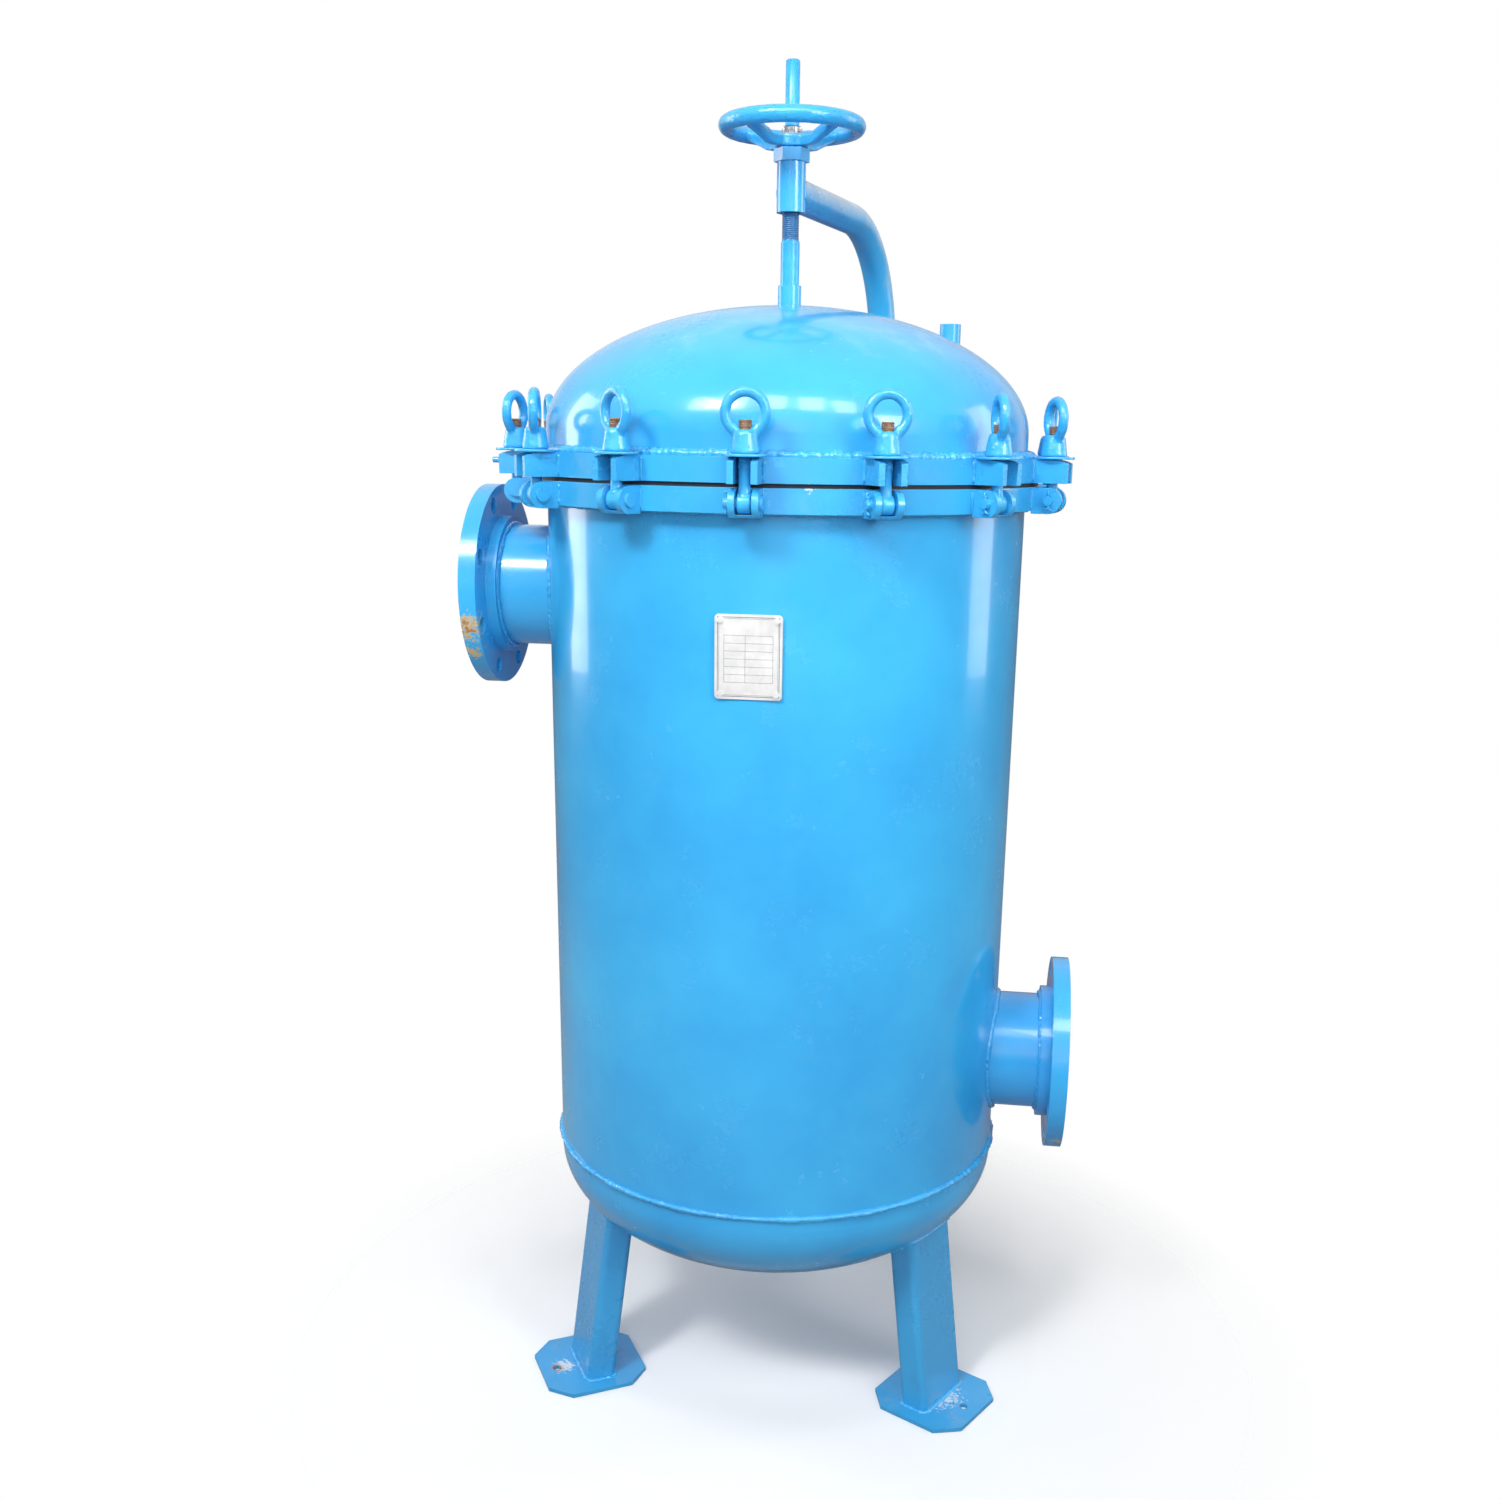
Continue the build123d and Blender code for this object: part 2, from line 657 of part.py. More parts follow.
save("shell", shell())
save("bottom_head", bottom_head())
save("vessel_ring", vessel_ring())
save("ring_gasket", ring_gasket())
save("nozzle_pipes", [nozzle_pipe(-1, inlet_z), nozzle_pipe(1, outlet_z)])
save("inlet_flange", slip_on_flange(-1, inlet_z))
save("outlet_flange", slip_on_flange(1, outlet_z))
save("legs", around(leg(), leg_azimuths))
save("base_plates", around(base_plate(), leg_azimuths))
save("clevises", around(clevis(), station_azimuths))
save("clevis_pins", [around(piece, station_azimuths) for piece in clevis_pin()])
save("lid_dome", lid_dome())
save("lid_ring", lid_ring())
save("lid_lugs", [around(piece, station_azimuths) for piece in lug_plates()])
save("vent_coupling", vent_coupling())
save("lid_socket", lid_socket())
save("lid_guide_rod", lid_guide_rod())
save("lift_screw", lift_screw())
save("handwheel", handwheel())
save("lift_nut", lift_nut())
save("hex_collar", hex_collar())
save("davit_sleeve", davit_sleeve())
save("davit_arm", davit_arm())
save("davit_bracket", davit_bracket())
save("drain_coupling", drain_coupling())
save("drain_plug", drain_plug())
save("nameplate", nameplate())
save("nameplate_studs", nameplate_studs())
save("tube_sheet", tube_sheet())
save("bag_baskets", [at_front(bag_basket(), bag_circle_r, azimuth) for azimuth in bag_azimuths()])
save("filter_bags", [at_front(filter_bag(), bag_circle_r, azimuth) for azimuth in bag_azimuths()])
save("hold_down", hold_down())
for number, azimuth in enumerate(station_azimuths, start=1):
    turn = eye_turns[(number - 1) % len(eye_turns)]
    save(f"swing_bolt_{number:02d}", Rot(0, 0, azimuth) * swing_bolt())
    save(f"eye_nut_{number:02d}", [Rot(0, 0, azimuth) * piece for piece in eye_nut(turn)])
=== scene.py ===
from math import asin, cos, pi, radians, sin, sqrt, tau

import bmesh
import bpy

from mathutils import Matrix, Vector, noise


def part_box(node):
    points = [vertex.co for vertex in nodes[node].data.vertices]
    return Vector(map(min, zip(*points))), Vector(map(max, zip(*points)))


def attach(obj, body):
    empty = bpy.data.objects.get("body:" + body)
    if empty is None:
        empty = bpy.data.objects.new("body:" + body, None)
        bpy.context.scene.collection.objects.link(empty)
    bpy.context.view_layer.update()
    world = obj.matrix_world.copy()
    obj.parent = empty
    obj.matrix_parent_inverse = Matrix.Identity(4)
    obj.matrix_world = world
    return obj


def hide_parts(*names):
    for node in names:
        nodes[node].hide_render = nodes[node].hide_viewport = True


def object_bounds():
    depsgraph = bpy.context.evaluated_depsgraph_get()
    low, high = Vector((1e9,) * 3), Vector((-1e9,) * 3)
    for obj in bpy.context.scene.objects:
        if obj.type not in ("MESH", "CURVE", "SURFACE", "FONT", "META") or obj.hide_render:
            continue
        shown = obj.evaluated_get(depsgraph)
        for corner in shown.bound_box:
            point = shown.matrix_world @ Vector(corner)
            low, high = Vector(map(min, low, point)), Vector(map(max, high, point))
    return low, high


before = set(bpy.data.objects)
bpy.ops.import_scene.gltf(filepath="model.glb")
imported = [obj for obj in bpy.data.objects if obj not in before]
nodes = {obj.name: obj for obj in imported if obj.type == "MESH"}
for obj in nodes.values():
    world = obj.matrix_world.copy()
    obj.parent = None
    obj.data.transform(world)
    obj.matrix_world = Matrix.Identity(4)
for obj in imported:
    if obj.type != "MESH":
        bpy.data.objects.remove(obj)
cad_low, cad_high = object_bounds()
MM = 0.001


# ================================================================ sizes, in metres

def span(node, axis):
    low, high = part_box(node)
    return low[axis], high[axis]


shell_r = span("shell", 0)[1]
seam_z = span("shell", 2)[0]
ring_r = span("vessel_ring", 0)[1]
ring_low, ring_top = span("vessel_ring", 2)
lid_face, seat_z = span("lid_ring", 2)
dome_apex = span("lid_dome", 2)[1]
head_depth = shell_r / 2
dome_tangent = dome_apex - head_depth
head_apex = span("bottom_head", 2)[0]
head_tangent = head_apex + head_depth
washer_z = span("eye_nut_01", 2)[0]
nut_z = washer_z + 3 * MM
pin_z = sum(span("clevises", 2)) / 2
bolt_r = ring_r + 22 * MM
bolt_end = span("swing_bolt_01", 2)[1]
station_count = sum(name.startswith("swing_bolt_") for name in nodes)
stations = [index * tau / station_count for index in range(station_count)]
inlet_z = sum(span("inlet_flange", 2)) / 2
outlet_z = sum(span("outlet_flange", 2)) / 2
hub_x = span("outlet_flange", 0)[0]
face_x = span("outlet_flange", 0)[1]
pipe_r = 84.15 * MM
plate_top = span("base_plates", 2)[1]
leg_azimuths = [radians(60 + 120 * index) for index in range(3)]
leg_foot_r, leg_splay = 300 * MM, radians(7.5)
leg_half_width, leg_half_depth, leg_corner = 51 * MM, 21 * MM, 9 * MM
lug_x = 18 * MM                       # outer face of a clevis ear or lug plate from the bolt axis
wheel_low = span("handwheel", 2)[0]
hub_top = wheel_low + 17 * MM
rim_z = wheel_low + 26.7 * MM
rim_r, rim_wire = 86 * MM, 10.75 * MM
wheel_turn = radians(7.7)
sleeve_low = span("davit_sleeve", 2)[0]
arm_z = sleeve_low + 25 * MM
davit_azimuth = radians(6.5 * 360 / station_count)
screw_low, screw_top = span("lift_screw", 2)
thread_low, thread_top = sleeve_low - 35 * MM, rim_z
screw_lead = 5 * MM                   # a two-start thread
vent_azimuth, vent_r = radians(117), 239 * MM
plate_low, plate_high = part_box("nameplate")
# How far each eye nut happens to be turned on its bolt, in degrees, from the front station on.
eye_turns = [8, -10, 52, 35, -20, 65, 15, -50, 30, -70, 35, -25, -28, -18]


# ================================================================ node materials

def new_material(name):
    material = bpy.data.materials.new(name)
    material.use_nodes = True
    tree = material.node_tree
    return material, tree, tree.nodes["Principled BSDF"]


def add_node(tree, kind, **sockets):
    node = tree.nodes.new(kind)
    for key, value in sockets.items():
        node.inputs[key.replace("_", " ")].default_value = value
    return node


def feed(tree, socket, value):
    """Set a socket to a number or a colour, or link it."""
    if isinstance(value, tuple):
        socket.default_value = (*value, 1.0)
    elif isinstance(value, (int, float)):
        socket.default_value = value
    else:
        tree.links.new(value, socket)


def noise_node(tree, where, scale, detail=3.0, roughness=0.5):
    node = add_node(tree, "ShaderNodeTexNoise", Scale=scale, Detail=detail, Roughness=roughness)
    tree.links.new(where, node.inputs["Vector"])
    return node.outputs["Fac"]


def ramp(tree, value, low, high, start=0.0, end=1.0):
    node = add_node(tree, "ShaderNodeMapRange", From_Min=low, From_Max=high, To_Min=start, To_Max=end)
    tree.links.new(value, node.inputs["Value"])
    return node.outputs["Result"]


def mix_colour(tree, factor, one, two):
    node = tree.nodes.new("ShaderNodeMix")
    node.data_type = "RGBA"
    feed(tree, node.inputs["Factor"], factor)
    feed(tree, node.inputs["A"], one)
    feed(tree, node.inputs["B"], two)
    return node.outputs["Result"]


def mix_shader(tree, factor, one, two):
    node = tree.nodes.new("ShaderNodeMixShader")
    feed(tree, node.inputs["Fac"], factor)
    tree.links.new(one.outputs[0], node.inputs[1])
    tree.links.new(two.outputs[0], node.inputs[2])
    return node


def maths(tree, operation, one, two):
    node = tree.nodes.new("ShaderNodeMath")
    node.operation = operation
    feed(tree, node.inputs[0], one)
    feed(tree, node.inputs[1], two)
    return node.outputs[0]


def bump(tree, shader, height, strength, distance, edge=0.0):
    """Bump on top of edges that the Bevel node rounds by edge metres."""
    node = add_node(tree, "ShaderNodeBump", Strength=strength, Distance=distance)
    tree.links.new(height, node.inputs["Height"])
    if edge:
        rounded = add_node(tree, "ShaderNodeBevel", Radius=edge)
        rounded.samples = 4
        tree.links.new(rounded.outputs["Normal"], node.inputs["Normal"])
    tree.links.new(node.outputs["Normal"], shader.inputs["Normal"])


def object_place(tree):
    return tree.nodes.new("ShaderNodeTexCoord").outputs["Object"]


def height_above(tree, place):
    split = tree.nodes.new("ShaderNodeSeparateXYZ")
    tree.links.new(place, split.inputs[0])
    return split.outputs["Z"]


BLUE = (0.050, 0.445, 0.810)
BLUE_DEEP = (0.030, 0.335, 0.710)
BLUE_DUSTY = (0.150, 0.440, 0.720)
BLUE_SHADE = (0.030, 0.240, 0.520)
# a grey for the davit arm's painted reflection
GREY_PAINTED_REFLECTION = (0.300, 0.360, 0.420)
RUST = (0.190, 0.060, 0.020)
RUST_PALE = (0.400, 0.200, 0.090)
STAIN = (0.640, 0.480, 0.240)
SCUFF = (0.620, 0.680, 0.730)
FOOT_FILM = (0.300, 0.450, 0.620)
THREAD_DARK_BLUE = (0.035, 0.150, 0.330)
EVERY_FACE = (-1.5, -1.2)             # a start and an end for the painted light by facing that leave no face out: painted shade all over


def worn_spots(tree, place, colour, spots):
    """Wear that breaks through the paint round each (centre, radius, edge colour, core colour)."""
    for centre, radius, edge, core in spots:
        offset = tree.nodes.new("ShaderNodeVectorMath")
        offset.operation = "DISTANCE"
        tree.links.new(place, offset.inputs[0])
        offset.inputs[1].default_value = centre
        near = ramp(tree, offset.outputs["Value"], radius * 0.2, radius, 0.32, -0.12)
        level = maths(tree, "ADD", noise_node(tree, place, 170.0, 6.0, 0.65), near)
        colour = mix_colour(tree, ramp(tree, level, 0.68, 0.77), colour, edge)
        colour = mix_colour(tree, ramp(tree, level, 0.79, 0.87), colour, core)
    return colour


def facing_up(tree):
    """How far the surface faces up at rest, from -1 to 1."""
    return height_above(tree, tree.nodes.new("ShaderNodeTexCoord").outputs["Normal"])


def paint(name, peel=0.10, lump=0.0, wave=0.0, dust_and_painted_light_amount=0.35, dust_and_painted_light_colour=BLUE_DUSTY, rough=0.16, edge=1.0 * MM,
          worn=(), painted_light_by_facing=None):
    """Gloss enamel: two blues in soft clouds, patches of a second colour, orange peel, and wear where it is
    said.

    lump adds cast or welded roughness and wave the slow waviness of rolled plate. The patches are dirt on
    most parts, but painted shade on the legs and a painted grey reflection on the davit arm.
    painted_light_by_facing is painted light and shade on faces by how far they look up (a painted sheen on
    the dome, a painted highlight on the davit arm and painted shade on the legs and feet): where it starts
    and ends, its colour and how much.
    """
    material, tree, shader = new_material(name)
    place = object_place(tree)
    clouds = ramp(tree, noise_node(tree, place, 3.0, 5.0, 0.6), 0.34, 0.68)
    colour = mix_colour(tree, clouds, BLUE_DEEP, BLUE)
    # Patches of a second colour: dirt on most parts; on the legs painted shade, on the davit arm a painted
    # reflection.
    dust_and_painted_light_patches = ramp(tree, noise_node(tree, place, 19.0, 9.0, 0.72), 0.56, 0.82, 0.0, dust_and_painted_light_amount)
    colour = mix_colour(tree, dust_and_painted_light_patches, colour, dust_and_painted_light_colour)
    # Painted light and shade: a colour laid on the faces by how far they look up.
    if painted_light_by_facing:
        low, high, painted_facing_colour, amount = painted_light_by_facing
        uneven = ramp(tree, noise_node(tree, place, 24.0, 6.0, 0.65), 0.3, 0.7, -0.22, 0.22)
        painted_facing_mask = ramp(tree, maths(tree, "ADD", facing_up(tree), uneven), low, high, 0.0, amount)
        colour = mix_colour(tree, painted_facing_mask, colour, painted_facing_colour)
    feed(tree, shader.inputs["Base Color"], worn_spots(tree, place, colour, worn))
    gloss = ramp(tree, noise_node(tree, place, 9.0, 7.0, 0.68), 0.3, 0.75, rough * 0.7, rough * 2.2)
    feed(tree, shader.inputs["Roughness"], gloss)
    height = maths(tree, "MULTIPLY", noise_node(tree, place, 380.0, 2.0, 0.5), 0.4)
    if lump:
        cast = maths(tree, "MULTIPLY", noise_node(tree, place, 120.0, 5.0, 0.6), lump)
        height = maths(tree, "ADD", height, cast)
    if wave:
        slow = maths(tree, "MULTIPLY", noise_node(tree, place, 7.0, 2.0, 0.45), wave)
        height = maths(tree, "ADD", height, slow)
    bump(tree, shader, height, peel, 1.2 * MM, edge)
    shader.inputs["Coat Weight"].default_value = 0.5
    shader.inputs["Coat Roughness"].default_value = 0.05
    return material


def metal(name, colour, shade, rough, grain=220.0, metallic=1.0, edge=0.4 * MM, pit=0.15):
    material, tree, shader = new_material(name)
    place = object_place(tree)
    tone = ramp(tree, noise_node(tree, place, grain, 6.0, 0.65), 0.35, 0.7)
    feed(tree, shader.inputs["Base Color"], mix_colour(tree, tone, shade, colour))
    wear = ramp(tree, noise_node(tree, place, grain / 4, 5.0, 0.6), 0.3, 0.7, rough * 0.75, rough * 1.35)
    feed(tree, shader.inputs["Roughness"], wear)
    bump(tree, shader, noise_node(tree, place, grain * 3, 3.0, 0.5), pit, 0.4 * MM, edge)
    shader.inputs["Metallic"].default_value = metallic
    return material


def matt(name, colour, shade, rough, grain, depth, fuzz=0.0):
    material, tree, shader = new_material(name)
    place = object_place(tree)
    tone = ramp(tree, noise_node(tree, place, grain, 6.0, 0.7), 0.32, 0.68)
    feed(tree, shader.inputs["Base Color"], mix_colour(tree, tone, shade, colour))
    wear = ramp(tree, noise_node(tree, place, grain / 3, 4.0, 0.6), 0.3, 0.7, rough * 0.88, rough)
    feed(tree, shader.inputs["Roughness"], wear)
    bump(tree, shader, noise_node(tree, place, grain * 2, 4.0, 0.6), 0.5, depth)
    shader.inputs["Sheen Weight"].default_value = fuzz
    return material


def painted_thread(name, bare_above, bare_colour, bare_shade, dull=(0, 0)):
    """Painted steel, bare and rusted above one height, and a darker blue between two others."""
    material, tree, shader = new_material(name)
    place = object_place(tree)
    clouds = ramp(tree, noise_node(tree, place, 30.0, 6.0, 0.6), 0.35, 0.7)
    blue = mix_colour(tree, clouds, BLUE_DEEP, BLUE)
    above = ramp(tree, height_above(tree, place), dull[0], dull[0] + 1 * MM)
    under = ramp(tree, height_above(tree, place), dull[1], dull[1] + 1 * MM, 1.0, 0.0)
    blue = mix_colour(tree, maths(tree, "MULTIPLY", above, under), blue, THREAD_DARK_BLUE)
    bare = mix_colour(tree, ramp(tree, noise_node(tree, place, 260.0, 6.0, 0.7), 0.36, 0.64),
                      bare_shade, bare_colour)
    rise = maths(tree, "ADD", height_above(tree, place),
                 maths(tree, "MULTIPLY", noise_node(tree, place, 150.0, 4.0, 0.6), 6 * MM))
    mask = ramp(tree, rise, bare_above, bare_above + 3 * MM)
    feed(tree, shader.inputs["Base Color"], mix_colour(tree, mask, blue, bare))
    feed(tree, shader.inputs["Roughness"], ramp(tree, mask, 0.0, 1.0, 0.22, 0.55))
    feed(tree, shader.inputs["Metallic"], ramp(tree, mask, 0.0, 1.0, 0.0, 0.35))
    bump(tree, shader, noise_node(tree, place, 500.0, 4.0, 0.6), 0.3, 0.5 * MM)
    return material


def at_azimuth(azimuth, radius, z):
    return (radius * sin(azimuth), -radius * cos(azimuth), z)


enamel = paint("enamel_plate_work", peel=0.10, wave=2.2, dust_and_painted_light_amount=0.18)
enamel_tube = paint("enamel_tube", peel=0.08, wave=0.3)
# The dome: a paler blue on the faces that look up, near the crown, is a painted sheen.
enamel_dome = paint("enamel_dome", peel=0.10, wave=4.5, dust_and_painted_light_amount=0.2,
                    painted_light_by_facing=(0.90, 1.15, (0.300, 0.480, 0.760), 0.35))
# The davit arm: the grey patches are a painted reflection, and the pale grey on its upward faces is a
# painted highlight.
enamel_arm = paint("enamel_arm", peel=0.12, wave=0.4, dust_and_painted_light_amount=0.6, dust_and_painted_light_colour=GREY_PAINTED_REFLECTION, rough=0.24,
                   painted_light_by_facing=(-0.35, 0.75, (0.520, 0.570, 0.620), 0.9))
# The legs: the darker blue patches and the darker blue over every face are painted shade.
enamel_leg = paint("enamel_leg", peel=0.14, wave=0.5, dust_and_painted_light_amount=0.8, dust_and_painted_light_colour=BLUE_SHADE, rough=0.22,
                   edge=1.5 * MM, painted_light_by_facing=(*EVERY_FACE, BLUE_SHADE, 0.35))
enamel_ring = paint("enamel_ring", peel=0.16, lump=0.25, dust_and_painted_light_amount=0.5,
                    worn=[(at_azimuth(radians(-31), ring_r, lid_face), 10 * MM, SCUFF, RUST_PALE),
                          (at_azimuth(radians(12), ring_r, ring_top), 12 * MM, SCUFF, SCUFF),
                          (at_azimuth(radians(140), ring_r, ring_top), 16 * MM, RUST_PALE, RUST)])
enamel_cast = paint("enamel_cast", peel=0.38, lump=1.0, dust_and_painted_light_amount=0.6, rough=0.18,
                    worn=[(at_azimuth(0, bolt_r, pin_z - 15 * MM), 15 * MM, RUST_PALE, RUST),
                          (at_azimuth(stations[1], bolt_r, pin_z - 15 * MM), 9 * MM, SCUFF, RUST_PALE),
                          (at_azimuth(stations[9], bolt_r, pin_z - 15 * MM), 12 * MM, RUST_PALE, RUST)])
enamel_forged = paint("enamel_forged", peel=0.55, lump=2.0, dust_and_painted_light_amount=0.5, rough=0.11, edge=0.6 * MM)
enamel_weld = paint("enamel_weld", peel=0.6, lump=2.2, dust_and_painted_light_amount=0.9, rough=0.07, edge=0.0)
foot_weld = paint("foot_weld", peel=0.42, lump=1.5, dust_and_painted_light_amount=1.0, dust_and_painted_light_colour=SCUFF, rough=0.20, edge=0.0)
enamel_flange = paint("enamel_flange", peel=0.14, lump=0.3, dust_and_painted_light_amount=0.4,
                      worn=[((-face_x + 12 * MM, -0.128, inlet_z - 46 * MM), 46 * MM, STAIN, RUST_PALE),
                            ((-face_x + 10 * MM, -0.110, inlet_z - 84 * MM), 26 * MM, STAIN, STAIN),
                            ((face_x - 8 * MM, -0.096, outlet_z - 98 * MM), 18 * MM, STAIN, RUST_PALE)])
# The base plates: the darker blue over every face is painted shade; the pale tint and the scuffs are dirt
# and wear.
enamel_foot = paint("enamel_foot", peel=0.2, lump=0.4, dust_and_painted_light_amount=1.0, dust_and_painted_light_colour=FOOT_FILM, rough=0.30,
                    painted_light_by_facing=(*EVERY_FACE, BLUE_SHADE, 0.3),
                    worn=[(at_azimuth(leg_azimuths[2], 0.345, plate_top), 34 * MM, SCUFF, SCUFF),
                          (at_azimuth(leg_azimuths[2], 0.355, plate_top), 22 * MM, RUST_PALE, RUST),
                          (at_azimuth(leg_azimuths[0], 0.310, plate_top), 70 * MM, SCUFF, SCUFF),
                          (at_azimuth(leg_azimuths[0], 0.355, plate_top), 11 * MM, RUST_PALE, RUST)])
bolt_paint = painted_thread("bolt_paint", nut_z + 27 * MM, (0.46, 0.31, 0.21), (0.20, 0.11, 0.06))
bright = metal("bright_steel", (0.70, 0.68, 0.66), (0.42, 0.39, 0.36), 0.26, 260.0)
plate_metal = metal("etched_plate", (0.84, 0.83, 0.82), (0.70, 0.69, 0.68), 0.34, 60.0, 0.25)
inner = metal("inner_steel", (0.58, 0.59, 0.60), (0.42, 0.43, 0.44), 0.36, 180.0)
etched = matt("etched_line", (0.11, 0.12, 0.14), (0.06, 0.06, 0.07), 0.6, 300.0, 0.2 * MM)
rubber = matt("gasket_rubber", (0.020, 0.022, 0.028), (0.012, 0.014, 0.018), 0.75, 220.0, 0.4 * MM)
felt = matt("bag_felt", (0.82, 0.80, 0.74), (0.70, 0.68, 0.61), 0.95, 700.0, 1.2 * MM, 0.4)


# ================================================================ mesh helpers

def add_piece(name, mesh, material, body, matrix=None, stands_for=()):
    thing = bpy.data.objects.new(name, mesh)
    if not mesh.materials:
        mesh.materials.append(material)
    bpy.context.scene.collection.objects.link(thing)
    if matrix is not None:
        thing.matrix_world = matrix
    bpy.context.view_layer.update()
    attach(thing, body)
    if stands_for:
        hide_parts(*stands_for)
    return thing


def make_mesh(name, vertices, faces, smooth=True):
    mesh = bpy.data.meshes.new(name)
    mesh.from_pydata([tuple(v) for v in vertices], [], faces)
    mesh.validate()
    tidy = bmesh.new()
    tidy.from_mesh(mesh)
    bmesh.ops.recalc_face_normals(tidy, faces=tidy.faces)
    tidy.to_mesh(mesh)
    tidy.free()
    if smooth:
        smoothed(mesh)
    mesh.update()
    return mesh


def smoothed(mesh):
    mesh.polygons.foreach_set("use_smooth", [True] * len(mesh.polygons))
    return mesh


def join_shapes(shapes):
    """One list of vertices and one of faces from several (vertices, faces)."""
    vertices, faces = [], []
    for more, cells in shapes:
        faces += [tuple(index + len(vertices) for index in cell) for cell in cells]
        vertices += [Vector(v) for v in more]
    return vertices, faces


def moved(shape, matrix):
    return [matrix @ Vector(v) for v in shape[0]], shape[1]


def grid_faces(rows, columns, wrap_rows=False, wrap_columns=True):
    faces = []
    for row in range(rows if wrap_rows else rows - 1):
        for column in range(columns if wrap_columns else columns - 1):
            after, beside = (row + 1) % rows, (column + 1) % columns
            faces.append((row * columns + column, row * columns + beside,
                          after * columns + beside, after * columns + column))
    return faces


def end_caps(rows, sides):
    """The two end faces of a tube that has this many rows of vertices."""
    return [tuple(range(sides))[::-1], tuple(range((rows - 1) * sides, rows * sides))]


def turned_shape(profile, sides=40, radius_at=None, closed=False):
    """A round shape about Z. The profile is a list of (radius, z); radius_at may bend each radius."""
    vertices = []
    for radius, z in profile:
        for column in range(sides):
            angle = tau * column / sides
            reach = radius_at(radius, z, angle) if radius_at else radius
            vertices.append(Vector((reach * cos(angle), reach * sin(angle), z)))
    faces = grid_faces(len(profile), sides, wrap_rows=closed)
    if not closed:
        faces += end_caps(len(profile), sides)
    return vertices, faces


def torus_shape(ring, wire, around=72, sides=20):
    vertices = []
    for row in range(around):
        angle = tau * row / around
        for column in range(sides):
            roll = tau * column / sides
            reach = ring + wire * cos(roll)
            vertices.append(Vector((reach * cos(angle), reach * sin(angle), wire * sin(roll))))
    return vertices, grid_faces(around, sides, wrap_rows=True)


def tube_shape(path, radius, sides=10):
    """A round wire along a path of points."""
    vertices = []
    for index, point in enumerate(path):
        before, after = path[max(0, index - 1)], path[min(len(path) - 1, index + 1)]
        along = (after - before).normalized()
        side = along.cross(Vector((0.3, 0.2, 0.93))).normalized()
        other = along.cross(side)
        for corner in range(sides):
            angle = tau * corner / sides
            vertices.append(point + radius * (cos(angle) * side + sin(angle) * other))
    return vertices, grid_faces(len(path), sides) + end_caps(len(path), sides)


def bar_shape(path, width, depth):
    """A flat bar along a path in the XZ plane; width is along Y and depth across the path."""
    vertices = []
    for index, point in enumerate(path):
        before, after = path[max(0, index - 1)], path[min(len(path) - 1, index + 1)]
        along = (after - before).normalized()
        across = Vector((-along.z, 0, along.x))
        for y, up in ((-1, -1), (1, -1), (1, 1), (-1, 1)):
            vertices.append(point + Vector((0, y * width / 2, 0)) + across * up * depth / 2)
    return vertices, grid_faces(len(path), 4) + end_caps(len(path), 4)


def melted(name, shapes, voxel, passes, rough, cutter=None):
    """The shapes run together as one casting: remeshed, smoothed, roughened and then bored."""
    vertices, faces = join_shapes(shapes)
    rough_mesh = make_mesh(name, vertices, faces)
    work = bpy.data.objects.new(name, rough_mesh)
    bpy.context.scene.collection.objects.link(work)
    remesh = work.modifiers.new("melt", "REMESH")
    remesh.mode = "VOXEL"
    remesh.voxel_size = voxel
    soft = work.modifiers.new("soften", "SMOOTH")
    soft.factor, soft.iterations = 0.5, passes
    mesh = settle(work)
    for vertex in mesh.vertices:
        bumpiness = noise.noise(vertex.co * 120) + 0.5 * noise.noise(vertex.co * 330)
        vertex.co += vertex.normal * bumpiness * rough
    if cutter:
        tool = bpy.data.objects.new(name + "_tool", make_mesh(name + "_tool", *cutter))
        bpy.context.scene.collection.objects.link(tool)
        work.modifiers.clear()
        work.data = mesh
        bore = work.modifiers.new("bore", "BOOLEAN")
        bore.operation, bore.object, bore.solver = "DIFFERENCE", tool, "EXACT"
        mesh = settle(work)
        bpy.data.objects.remove(tool)
    bpy.data.objects.remove(work)
    return smoothed(mesh)


def settle(thing):
    """The object's mesh with its modifiers applied."""
    bpy.context.view_layer.update()
    seen = thing.evaluated_get(bpy.context.evaluated_depsgraph_get())
    return bpy.data.meshes.new_from_object(seen)


def sharp_by_angle(mesh, degrees=40):
    shape = bmesh.new()
    shape.from_mesh(mesh)
    for edge in shape.edges:
        edge.smooth = len(edge.link_faces) == 2 and edge.calc_face_angle(0) < radians(degrees)
    shape.to_mesh(mesh)
    shape.free()
    return mesh


# ---- weld beads ----

